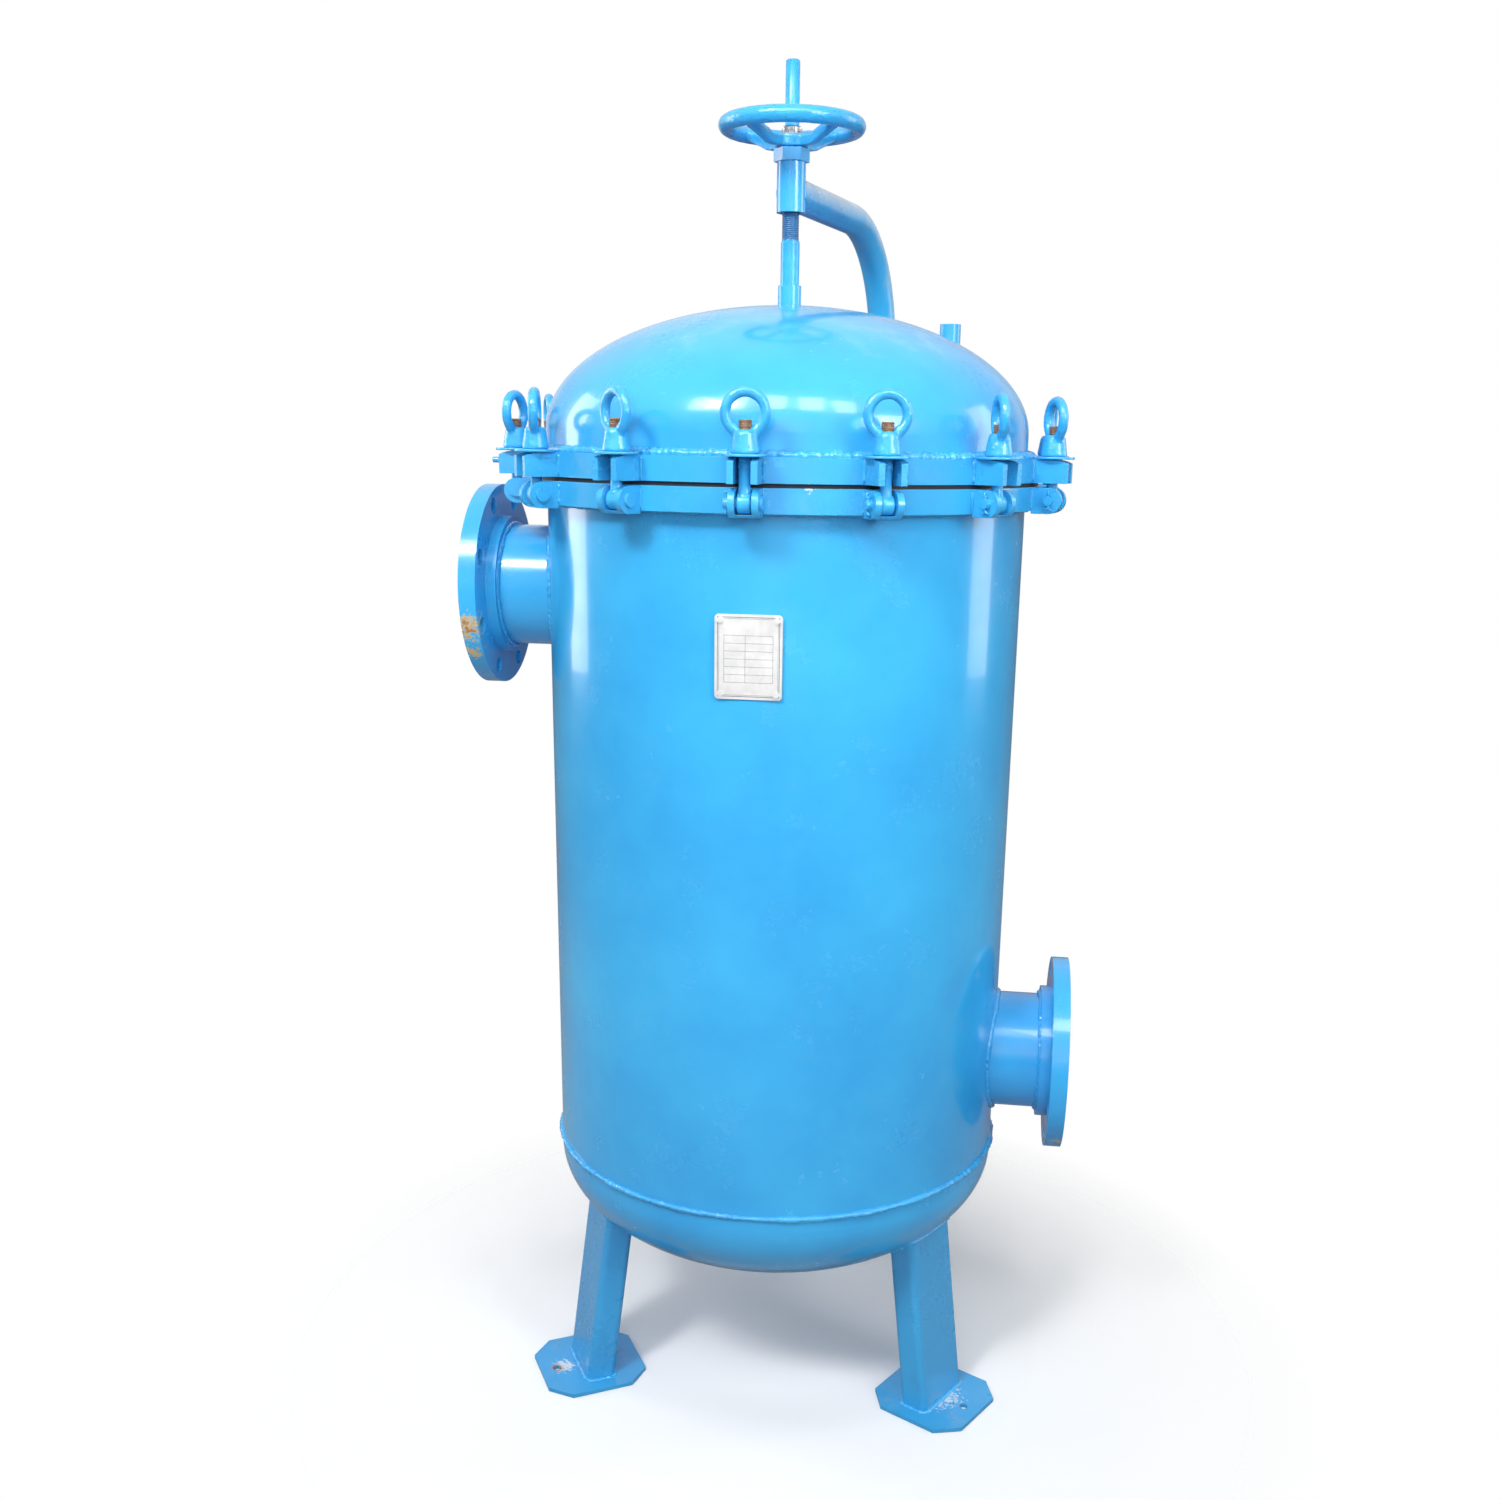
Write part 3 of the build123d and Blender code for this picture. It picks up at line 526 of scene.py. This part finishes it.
def bead_shape(path, radius, closed, seed=0.0, flat=0.8):
    """A weld bead along a path: a lumpy tube with a ripple every few millimetres."""
    sides = 10
    count = len(path)
    ripple = 2.2 * radius
    travel = 0.0
    vertices = []
    for index, point in enumerate(path):
        before = path[index - 1] if (closed or index) else point
        after = path[(index + 1) % count] if (closed or index < count - 1) else point
        along = (after - before).normalized()
        side = along.cross(Vector((0.31, 0.17, 0.94)))
        if side.length < 0.1:
            side = along.cross(Vector((1, 0, 0)))
        side.normalize()
        other = along.cross(side)
        travel += (after - point).length
        wave = 0.16 * abs(sin(pi * travel / ripple))
        small = noise.noise(point * 210 + Vector((seed, 0, 0)))
        slow = noise.noise(point * 45 + Vector((0, seed, 0)))
        size = radius * (0.86 + wave + 0.30 * small + 0.36 * slow)
        if not closed and index in (0, count - 1):
            size *= 0.3
        for corner in range(sides):
            angle = corner * tau / sides
            grit = 1 + 0.22 * noise.noise(point * 420 + Vector((angle, seed, 0)))
            vertices.append(point + (side * cos(angle) + other * sin(angle) * flat) * size * grit)
    faces = grid_faces(count, sides, wrap_rows=closed)
    if not closed:
        faces += end_caps(count, sides)
    return vertices, faces


def beads(name, paths, radius, body, closed=True, material=None):
    """One piece that holds a weld bead along each path."""
    shapes = [bead_shape(path, radius, closed, seed=3.7 * number) for number, path in enumerate(paths)]
    return add_piece(name, make_mesh(name, *join_shapes(shapes)), material or enamel_weld, body)


def closed_path(point_at, length, step=1.8 * MM):
    count = max(24, int(length / step))
    return [Vector(point_at(tau * index / count)) for index in range(count)]


def line_path(start, end, step=1.8 * MM):
    start, end = Vector(start), Vector(end)
    count = max(4, int((end - start).length / step))
    return [start.lerp(end, index / (count - 1)) for index in range(count)]


def circle_path(radius, z):
    return closed_path(lambda t: (radius * sin(t), -radius * cos(t), z), tau * radius)


def turned_path(path, azimuth):
    turn = Matrix.Rotation(azimuth, 3, "Z")
    return [turn @ point for point in path]


# ================================================================ CAD nodes that stay

def dress(names, material):
    for name in names:
        nodes[name].data.materials.clear()
        nodes[name].data.materials.append(material)


dress(["shell", "bottom_head"], enamel)
dress(["lid_dome"], enamel_dome)
dress(["nozzle_pipes", "davit_sleeve", "lid_socket", "drain_coupling", "lid_guide_rod", "lift_screw"],
      enamel_tube)
dress(["davit_arm"], enamel_arm)
dress(["legs"], enamel_leg)
dress(["vessel_ring", "lid_ring", "hex_collar", "davit_bracket"], enamel_ring)
dress(["lid_lugs", "clevises", "clevis_pins", "vent_coupling", "handwheel"], enamel_cast)
dress(["inlet_flange", "outlet_flange"], enamel_flange)
dress(["base_plates"], enamel_foot)
dress(["nameplate", "nameplate_studs"], plate_metal)
dress(["lift_nut", "drain_plug"], bright)
dress(["tube_sheet", "bag_baskets", "hold_down"], inner)
dress(["ring_gasket"], rubber)
dress(["filter_bags"], felt)
dress([name for name in nodes if name.startswith(("swing_bolt", "eye_nut"))], enamel_cast)


# ================================================================ threads

def thread_level(z, angle, lead, starts):
    """0 at the root of a right-hand thread and 1 at its crest."""
    phase = starts * (z / lead - angle / tau) % 1.0
    return min(1.0, max(0.0, (abs(2 * phase - 1) - 0.25) / 0.5))


def threaded(low, high, lead, depth, runout, starts=1):
    """A radius_at function that cuts a thread between two heights."""
    def radius_at(radius, z, angle):
        if not low < z < high:
            return radius
        fade = min(1.0, (z - low) / runout)
        return radius - depth * fade * (1 - thread_level(z, angle, lead, starts))
    return radius_at


def steps(low, high, count):
    return [low + (high - low) * index / count for index in range(count + 1)]


# ================================================================ closures

def swing_bolt_mesh():
    """An eye bolt on its pin, about its own axis, with a rolled M16 thread."""
    shank_r, thread_r, pitch, thread_depth = 7 * MM, 8 * MM, 2 * MM, 1.1 * MM
    thread_start = seat_z - 12 * MM
    cut = threaded(thread_start, bolt_end - 1.6 * MM, pitch, thread_depth, 4 * MM)
    profile = [(0.5 * MM, pin_z + 7 * MM), (9.2 * MM, pin_z + 8 * MM), (8.0 * MM, pin_z + 11 * MM),
               (7.2 * MM, pin_z + 15 * MM), (shank_r, pin_z + 19 * MM), (shank_r, thread_start - 1 * MM)]
    profile += [(thread_r, z) for z in steps(thread_start, bolt_end - 1.5 * MM, 212)]
    profile += [(6.6 * MM, bolt_end), (0.3 * MM, bolt_end)]
    eye = [(6.06, -8), (10.2, -8), (11.6, -7.2), (12, -5.8),
           (12, 5.8), (11.6, 7.2), (10.2, 8), (6.06, 8)]
    ring = turned_shape([(r * MM, x * MM) for r, x in eye], 40, closed=True)
    ring = moved(ring, Matrix.Translation((0, 0, pin_z)) @ Matrix.Rotation(pi / 2, 4, "Y"))
    return make_mesh("swing_bolt", *join_shapes([turned_shape(profile, 32, cut), ring]))


def eye_nut_mesh():
    """A forged eye nut with its washer; its base is at z 0 and its bore is open."""
    neck = turned_shape([(15.6 * MM, 0), (17 * MM, 1.4 * MM), (17 * MM, 3 * MM), (13.6 * MM, 23 * MM),
                         (11.0 * MM, 27 * MM)], 40)
    eye = moved(torus_shape(23.1 * MM, 6.3 * MM),
                Matrix.Translation((0, 0, 45.7 * MM)) @ Matrix.Rotation(pi / 2, 4, "X"))
    cheek = turned_shape([(6.4 * MM, -7 * MM), (5.2 * MM, 8 * MM)], 20)
    cheeks = []
    for side in (-1, 1):
        lean = Matrix.Rotation(side * 0.5, 4, "Y")
        cheeks.append(moved(cheek, Matrix.Translation((side * 11.5 * MM, 0, 25 * MM)) @ lean))
    bore = turned_shape([(8.06 * MM, -2 * MM), (8.06 * MM, 38 * MM)], 40)
    body = melted("eye_nut", [neck, eye, *cheeks], 0.95 * MM, 9, 0.22 * MM, bore)
    washer = turned_shape([(8.7 * MM, -3 * MM), (26.6 * MM, -3 * MM), (27 * MM, -2.6 * MM),
                           (27 * MM, -0.4 * MM), (26.6 * MM, 0), (8.7 * MM, 0)], 56, closed=True)
    disc = make_mesh("washer", *washer)
    both = bmesh.new()
    both.from_mesh(body)
    both.from_mesh(disc)
    both.to_mesh(body)
    both.free()
    return sharp_by_angle(smoothed(body), 50)


def split_pin_mesh():
    """A split pin in the hinge pin's tail at the front station: an eye on top and two bent legs."""
    x, y = -21.5 * MM, -bolt_r
    loop = moved(torus_shape(2.6 * MM, 1.2 * MM, 28, 10),
                 Matrix.Translation((x, y, pin_z + 10.6 * MM)) @ Matrix.Rotation(pi / 2, 4, "X"))
    legs = []
    for side in (-1, 1):
        path = [Vector((x, y + side * lean * MM, pin_z - drop * MM))
                for lean, drop in ((0.7, 6.5), (1.0, 8.5), (2.6, 10.4), (5.2, 11.2))]
        legs.append(tube_shape(path, 1.2 * MM))
    return make_mesh("split_pin", *join_shapes([loop, *legs]))


bolt_mesh = sharp_by_angle(swing_bolt_mesh(), 45)
nut_mesh = eye_nut_mesh()
pin_mesh = split_pin_mesh()
for number, (azimuth, eye_turn) in enumerate(zip(stations, eye_turns), start=1):
    stand = Matrix.Rotation(azimuth, 4, "Z") @ Matrix.Translation((0, -bolt_r, 0))
    bolt, nut = f"swing_bolt_{number:02d}", f"eye_nut_{number:02d}"
    add_piece(f"bolt_{number:02d}", bolt_mesh, bolt_paint, bolt, matrix=stand, stands_for=[bolt])
    turned_nut = stand @ Matrix.Translation((0, 0, nut_z)) @ Matrix.Rotation(radians(eye_turn), 4, "Z")
    add_piece(f"nut_{number:02d}", nut_mesh, enamel_forged, nut, matrix=turned_nut, stands_for=[nut])
    add_piece(f"split_pin_{number:02d}", pin_mesh, enamel_cast, "vessel",
              matrix=Matrix.Rotation(azimuth, 4, "Z"))


# ================================================================ lift screw, nut and handwheel

def lift_screw_mesh():
    """The lid's screw: a plain foot, a two-start thread and a thin neck above it."""
    foot_r, thread_r, neck_r, thread_depth = 12.5 * MM, 11.35 * MM, 9.25 * MM, 0.8 * MM
    cut = threaded(thread_low + 1 * MM, thread_top - 1 * MM, screw_lead, thread_depth, 3 * MM, starts=2)
    profile = [(foot_r, screw_low), (foot_r, thread_low - 1 * MM)]
    profile += [(thread_r, z) for z in steps(thread_low, thread_top, 448)]
    profile += [(neck_r, thread_top + 0.3 * MM), (neck_r, screw_top - 1.5 * MM),
                (7.8 * MM, screw_top), (0.3 * MM, screw_top)]
    return sharp_by_angle(make_mesh("lift_screw", *turned_shape(profile, 48, cut)), 45)


def lift_nut_mesh():
    """A bright nut in the wheel's hub, castellated above it."""
    slots, slot_share, slot_depth = 14, 0.36, 1.7 * MM
    bore_r, body_r, crown_r = 11.6 * MM, 14.8 * MM, 13.5 * MM
    crown_top = span("lift_nut", 2)[1]

    def castle(radius, z, angle):
        if radius < 12 * MM or z < hub_top + 0.5 * MM:
            return radius
        return radius - (slot_depth if (angle * slots / tau) % 1.0 < slot_share else 0.0)

    profile = [(bore_r, wheel_low), (body_r, wheel_low), (body_r, hub_top + 0.2 * MM),
               (crown_r, hub_top + 0.8 * MM), (crown_r, crown_top - 0.6 * MM),
               (13.0 * MM, crown_top), (bore_r, crown_top)]
    return sharp_by_angle(make_mesh("lift_nut", *turned_shape(profile, 168, castle, closed=True)), 35)


def handwheel_mesh():
    """A dished cast wheel: four bars rise from the hub into the rim."""
    rim = moved(torus_shape(rim_r, rim_wire - 0.1 * MM, 120, 24), Matrix.Translation((0, 0, rim_z)))
    hub = turned_shape([(14.9 * MM, wheel_low + 0.6 * MM), (21 * MM, wheel_low + 0.6 * MM),
                        (21.7 * MM, wheel_low + 1.6 * MM), (21.2 * MM, hub_top - 2 * MM),
                        (19.6 * MM, hub_top - 0.5 * MM), (14.9 * MM, hub_top - 0.5 * MM)], 64, closed=True)
    # The middle of a bar, in millimetres out from the axis and up from the wheel's underside.
    bar_line = ((17, 0, 7.5), (34, 0, 7.5), (42, 0, 9), (50, 0, 13), (78, 0, 25), (86, 0, 26.7))
    bar = bar_shape([Vector(point) * MM for point in bar_line], 12.5 * MM, 13 * MM)
    bar = moved(bar, Matrix.Translation((0, 0, wheel_low)))
    swell = turned_shape([(7.5 * MM, -9 * MM), (9 * MM, 0)], 20)
    swell_place = Matrix.Translation((77 * MM, 0, wheel_low + 25.5 * MM))
    shapes = [rim, hub]
    for index in range(4):
        turn = Matrix.Rotation(wheel_turn + radians(45 + 90 * index) - pi / 2, 4, "Z")
        shapes.append(moved(bar, turn))
        shapes.append(moved(swell, turn @ swell_place @ Matrix.Rotation(1.2, 4, "Y")))
    return melted("handwheel", shapes, 1.35 * MM, 10, 0.22 * MM)


# The screw is painted to its top, so it turns bare only at a height that it never reaches.
screw_paint = painted_thread("screw_paint", screw_top + 1, (0.3, 0.3, 0.3), (0.2, 0.2, 0.2),
                             dull=(thread_low, thread_top))
add_piece("screw", lift_screw_mesh(), screw_paint, "lid", stands_for=["lift_screw"])
add_piece("castle_nut", lift_nut_mesh(), bright, "handwheel", stands_for=["lift_nut"])
add_piece("wheel", handwheel_mesh(), enamel_forged, "handwheel", stands_for=["handwheel"])


# ================================================================ welds

def head_z(radius):
    """Outer surface of the bottom head at a radius."""
    return head_tangent - head_depth * sqrt(max(0.0, 1 - (radius / shell_r) ** 2))


def dome_z(radius):
    return dome_tangent + head_depth * sqrt(max(0.0, 1 - (radius / shell_r) ** 2))


def nozzle_root(side, z, radius):
    def point_at(t):
        y = radius * cos(t)
        return side * sqrt(shell_r ** 2 - y ** 2), y, z + radius * sin(t)
    return closed_path(point_at, tau * radius)


def nozzle_hub(side, z, radius):
    return closed_path(lambda t: (side * hub_x, radius * cos(t), z + radius * sin(t)), tau * radius)


LEG_POINTS = 150                      # in a bead round a leg


def leg_outline(t):
    """A point on the leg's rounded section, as (across, out)."""
    across, out = cos(t), sin(t)
    flat_w, flat_d = leg_half_width - leg_corner, leg_half_depth - leg_corner
    sharp = 14
    reach = (abs(across) ** sharp + abs(out) ** sharp) ** (-1 / sharp)
    square = Vector((across * reach * leg_half_width, out * reach * leg_half_depth))
    core = Vector((min(flat_w, max(-flat_w, square.x)), min(flat_d, max(-flat_d, square.y))))
    return core + (square - core).normalized() * leg_corner if (square - core).length else square


def leg_point(across, out, climb):
    """A point on a leg at the front: climb runs along the leaning leg."""
    return Vector((across, -leg_foot_r + out * cos(leg_splay) + climb * sin(leg_splay),
                   climb * cos(leg_splay) - out * sin(leg_splay)))


def leg_climb_to_head(across, out):
    low, high = 0.0, seam_z
    for _ in range(30):
        middle = (low + high) / 2
        point = leg_point(across, out, middle)
        radius = sqrt(point.x ** 2 + point.y ** 2)
        inside = radius < shell_r and point.z > head_z(radius)
        low, high = (low, middle) if inside else (middle, high)
    return low


def leg_top_path():
    """Round one leg where it runs into the bottom head."""
    points = []
    for index in range(LEG_POINTS):
        across, out = leg_outline(tau * index / LEG_POINTS)
        points.append(leg_point(across, out, leg_climb_to_head(across, out)))
    return points


def leg_foot_path():
    """Round one leg where it stands on its base plate."""
    points = []
    for index in range(LEG_POINTS):
        across, out = leg_outline(tau * index / LEG_POINTS)
        climb = (plate_top + out * sin(leg_splay)) / cos(leg_splay)
        points.append(leg_point(across * 1.02, out * 1.05, climb))
    return points


def ring_corner_paths(low, high):
    """Upright beads where the outer faces of each pair of plates meet a ring's rim."""
    paths = []
    for azimuth in stations:
        for side in (-1, 1):
            x = side * (lug_x + 0.6 * MM)
            y = -sqrt(ring_r ** 2 - x ** 2)
            paths.append(turned_path(line_path((x, y, low), (x, y, high)), azimuth))
    return paths


def vent_path():
    """Round the vent coupling where it stands on the dome."""
    coupling_r = 15 * MM

    def point_at(t):
        centre = Vector(at_azimuth(vent_azimuth, vent_r, 0))
        x, y = centre.x + coupling_r * cos(t), centre.y + coupling_r * sin(t)
        return x, y, dome_z(sqrt(x * x + y * y))
    return closed_path(point_at, tau * coupling_r)


def sleeve_path():
    """Round the davit arm where it meets the lift sleeve."""
    sleeve_r, half_width, half_height = 19 * MM, 18.6 * MM, 21.6 * MM

    def point_at(t):
        across, up = half_width * cos(t), half_height * sin(t)
        out = -sqrt(sleeve_r ** 2 - across ** 2) - 1 * MM
        return Matrix.Rotation(davit_azimuth, 3, "Z") @ Vector((across, out, arm_z + up))
    return closed_path(point_at, tau * 20 * MM)


def gusset_paths():
    """Level beads over and under the davit bracket's two shelves, on the shell."""
    low = span("davit_bracket", 2)[0] + 10 * MM
    half_width = 45 * MM
    reach = asin(half_width / shell_r)
    paths = []
    for level in (20, 30, 120, 130):
        z = low + level * MM
        points = [Vector(at_azimuth(davit_azimuth + angle, shell_r + 0.5 * MM, z))
                  for angle in steps(-reach, reach, 50)]
        paths.append(points)
    return paths


beads("bottom_seam", [circle_path(shell_r - 0.2 * MM, seam_z)], 5.2 * MM, "vessel")
beads("lid_ring_weld", [circle_path(shell_r + 3.4 * MM, seat_z + 1.6 * MM)], 8.0 * MM, "lid")
beads("lid_underside_weld", [circle_path(shell_r - 2 * MM, lid_face + 6 * MM)], 3.0 * MM, "lid")
beads("vessel_ring_weld", [circle_path(shell_r + 1.6 * MM, ring_low)], 4.2 * MM, "vessel")
beads("back_seam", [line_path(at_azimuth(radians(200), shell_r - 0.8 * MM, seam_z),
                              at_azimuth(radians(200), shell_r - 0.8 * MM, ring_low), 3 * MM)],
      3.6 * MM, "vessel", closed=False)
beads("nozzle_root_welds", [nozzle_root(-1, inlet_z, pipe_r + 1.6 * MM),
                            nozzle_root(1, outlet_z, pipe_r + 1.6 * MM)], 4.6 * MM, "vessel")
beads("nozzle_hub_welds", [nozzle_hub(-1, inlet_z, pipe_r + 1.4 * MM),
                           nozzle_hub(1, outlet_z, pipe_r + 1.4 * MM)], 4.0 * MM, "vessel")
beads("lug_welds", ring_corner_paths(lid_face + 1.5 * MM, seat_z - 1.5 * MM), 3.0 * MM, "lid", closed=False)
beads("clevis_welds", ring_corner_paths(ring_low + 1.5 * MM, ring_top - 3 * MM), 2.2 * MM, "vessel",
      closed=False)
beads("socket_weld", [circle_path(16.2 * MM, dome_z(16 * MM))], 2.4 * MM, "lid")
beads("vent_weld", [vent_path()], 2.6 * MM, "lid")
beads("sleeve_weld", [sleeve_path()], 2.4 * MM, "vessel")
beads("gusset_welds", gusset_paths(), 2.8 * MM, "vessel", closed=False)
beads("leg_top_welds", [turned_path(leg_top_path(), azimuth) for azimuth in leg_azimuths],
      4.0 * MM, "vessel")
beads("leg_foot_welds", [turned_path(leg_foot_path(), azimuth) for azimuth in leg_azimuths],
      3.8 * MM, "vessel", material=foot_weld)
beads("drain_weld", [circle_path(23 * MM, head_z(23 * MM))], 2.6 * MM, "vessel")


# ================================================================ nameplate

def plate_lines():
    """A double border and ruled rows, in inked lines a hair above the plate."""
    width, height = plate_high.x - plate_low.x, plate_high.z - plate_low.z
    centre_z = (plate_high.z + plate_low.z) / 2
    front = plate_low.y
    boxes = []

    def line(x0, x1, z0, z1):
        boxes.append((x0 * MM, x1 * MM, centre_z + z0 * MM, centre_z + z1 * MM))

    for inset, thick in ((3.2, 0.7), (5.0, 0.35)):
        right, top = width / MM / 2 - inset, height / MM / 2 - inset
        line(-right, right, top - thick, top)
        line(-right, right, -top, -top + thick)
        line(-right, -right + thick, -top, top)
        line(right - thick, right, -top, top)
    rows, top_row, row_pitch = 7, 26, 9.5
    for row in range(rows):
        z = top_row - row * row_pitch
        line(-30, 30, z, z + 0.35)
    for x in (-30, -4, 30):
        line(x - 0.18, x + 0.18, -31, 26.35)
    shapes = []
    for x0, x1, z0, z1 in boxes:
        corners = [(x, y, z) for y in (front - 0.12 * MM, front + 0.3 * MM)
                   for z in (z0, z1) for x in (x0, x1)]
        cells = [(0, 1, 3, 2), (4, 6, 7, 5), (0, 4, 5, 1), (2, 3, 7, 6), (0, 2, 6, 4), (1, 5, 7, 3)]
        shapes.append((corners, cells))
    return make_mesh("plate_lines", *join_shapes(shapes), smooth=False)


add_piece("plate_lines", plate_lines(), etched, "vessel")


# ================================================================ the stage, the light, the camera

def area_light(name, place, target, size, power, size_y=None, in_gloss=True, spread=180):
    data = bpy.data.lights.new(name, "AREA")
    data.energy = power
    data.size = size
    data.spread = radians(spread)
    if size_y:
        data.shape = "RECTANGLE"
        data.size_y = size_y
    lamp = bpy.data.objects.new(name, data)
    bpy.context.scene.collection.objects.link(lamp)
    lamp.visible_glossy = in_gloss
    lamp.location = place
    lamp.rotation_euler = (Vector(target) - Vector(place)).to_track_quat("-Z", "Y").to_euler()


def make_floor():
    """A pale floor that takes a soft shadow near the feet and fades into the white background."""
    size = 30.0
    corners = [(-size, -size, 0), (size, -size, 0), (size, size, 0), (-size, size, 0)]
    floor = bpy.data.objects.new("floor", make_mesh("floor", corners, [(0, 1, 2, 3)]))
    bpy.context.scene.collection.objects.link(floor)
    floor.location.z = cad_low.z - 0.5 * MM
    material, tree, shader = new_material("pale_floor")
    place = object_place(tree)
    speckle = ramp(tree, noise_node(tree, place, 3.0, 4.0, 0.5), 0.3, 0.7, 0.93, 0.96)
    seen = tree.nodes.new("ShaderNodeLightPath").outputs["Is Camera Ray"]
    pale = mix_colour(tree, speckle, (0.9, 0.9, 0.9), (0.97, 0.97, 0.97))
    tone = mix_colour(tree, seen, (0.34, 0.36, 0.38), pale)
    feed(tree, shader.inputs["Base Color"], tone)
    shader.inputs["Roughness"].default_value = 0.9
    distance = tree.nodes.new("ShaderNodeVectorMath")
    distance.operation = "LENGTH"
    tree.links.new(place, distance.inputs[0])
    far = ramp(tree, distance.outputs["Value"], 0.42, 0.85)
    clear = tree.nodes.new("ShaderNodeBsdfTransparent")
    blend = mix_shader(tree, maths(tree, "MULTIPLY", far, seen), shader, clear)
    tree.links.new(blend.outputs[0], tree.nodes["Material Output"].inputs["Surface"])
    floor.data.materials.append(material)


def make_world():
    """Soft daylight; white behind the object, and a workshop's grey and white in its gloss."""
    world = bpy.data.worlds.new("studio")
    bpy.context.scene.world = world
    world.use_nodes = True
    tree = world.node_tree
    light = tree.nodes["Background"]
    light.inputs["Color"].default_value = (0.95, 0.97, 1.0, 1.0)
    light.inputs["Strength"].default_value = 0.26
    seen = add_node(tree, "ShaderNodeBackground", Color=(1, 1, 1, 1), Strength=1.0)
    direction = tree.nodes.new("ShaderNodeTexCoord").outputs["Generated"]
    up = height_above(tree, direction)
    shade = mix_colour(tree, ramp(tree, up, -0.35, 0.55), (0.20, 0.25, 0.31), (0.74, 0.82, 0.90))
    patches = ramp(tree, noise_node(tree, direction, 2.6, 2.0, 0.4), 0.52, 0.58)
    shade = mix_colour(tree, maths(tree, "MULTIPLY", patches, 0.6), shade, (0.95, 0.97, 1.0))
    gloss = add_node(tree, "ShaderNodeBackground", Strength=1.0)
    feed(tree, gloss.inputs["Color"], shade)
    path = tree.nodes.new("ShaderNodeLightPath")
    first = mix_shader(tree, path.outputs["Is Glossy Ray"], light, gloss)
    last = mix_shader(tree, path.outputs["Is Camera Ray"], first, seen)
    tree.links.new(last.outputs[0], tree.nodes["World Output"].inputs["Surface"])


def make_lights():
    """A key light from the upper left, a row of roof lamps, and soft light on the sides."""
    area_light("key", (-1.5, -3.0, 4.0), (0, 0, 1.2), 0.7, 84)
    area_light("fill", (3.0, -2.4, 2.4), (0.1, 0, 1.25), 1.4, 6, spread=50)
    area_light("front", (0.4, -4.2, 2.0), (0, 0, 1.2), 1.6, 5, in_gloss=False, spread=45)
    area_light("rim_left", (-2.9, 0.7, 1.7), (0, 0, 1.1), 0.9, 11, 2.2, spread=110)
    area_light("rim_right", (2.9, 1.0, 1.7), (0, 0, 1.1), 0.9, 8, 2.2, spread=110)
    area_light("back", (0.6, 3.4, 3.2), (0, 0, 1.2), 2.0, 12, in_gloss=False)
    for index, x in enumerate((-1.5, -0.75, 0.0, 0.75, 1.5)):
        area_light(f"roof_{index}", (x, -2.1, 3.3), (x * 0.3, 0, 1.3), 0.5, 5.5, 0.9, spread=120)


def make_camera():
    """The camera stands in front, a little to the outlet's side, and looks down at the vessel."""
    azimuth, distance, height = radians(7.5), 2.1581, 1.3766
    pitch, roll = 0.2669, 0.0157
    data = bpy.data.cameras.new("camera")
    data.sensor_width, data.lens = 36.0, 36.44
    data.shift_x, data.shift_y = -0.0205, 0.0687
    data.clip_end = 200
    camera = bpy.data.objects.new("camera", data)
    bpy.context.scene.collection.objects.link(camera)
    out = Vector((sin(azimuth), -cos(azimuth), 0))
    right = Vector((cos(azimuth), sin(azimuth), 0))
    forward = -out * cos(pitch) - Vector((0, 0, 1)) * sin(pitch)
    up = right.cross(forward)
    right, up = cos(roll) * right + sin(roll) * up, cos(roll) * up - sin(roll) * right
    turn = Matrix((right, up, -forward)).transposed().to_4x4()
    camera.matrix_world = Matrix.Translation(out * distance + Vector((0, 0, height))) @ turn
    bpy.context.scene.camera = camera


make_floor()
make_world()
make_lights()
make_camera()
bpy.context.scene.view_settings.view_transform = "Standard"
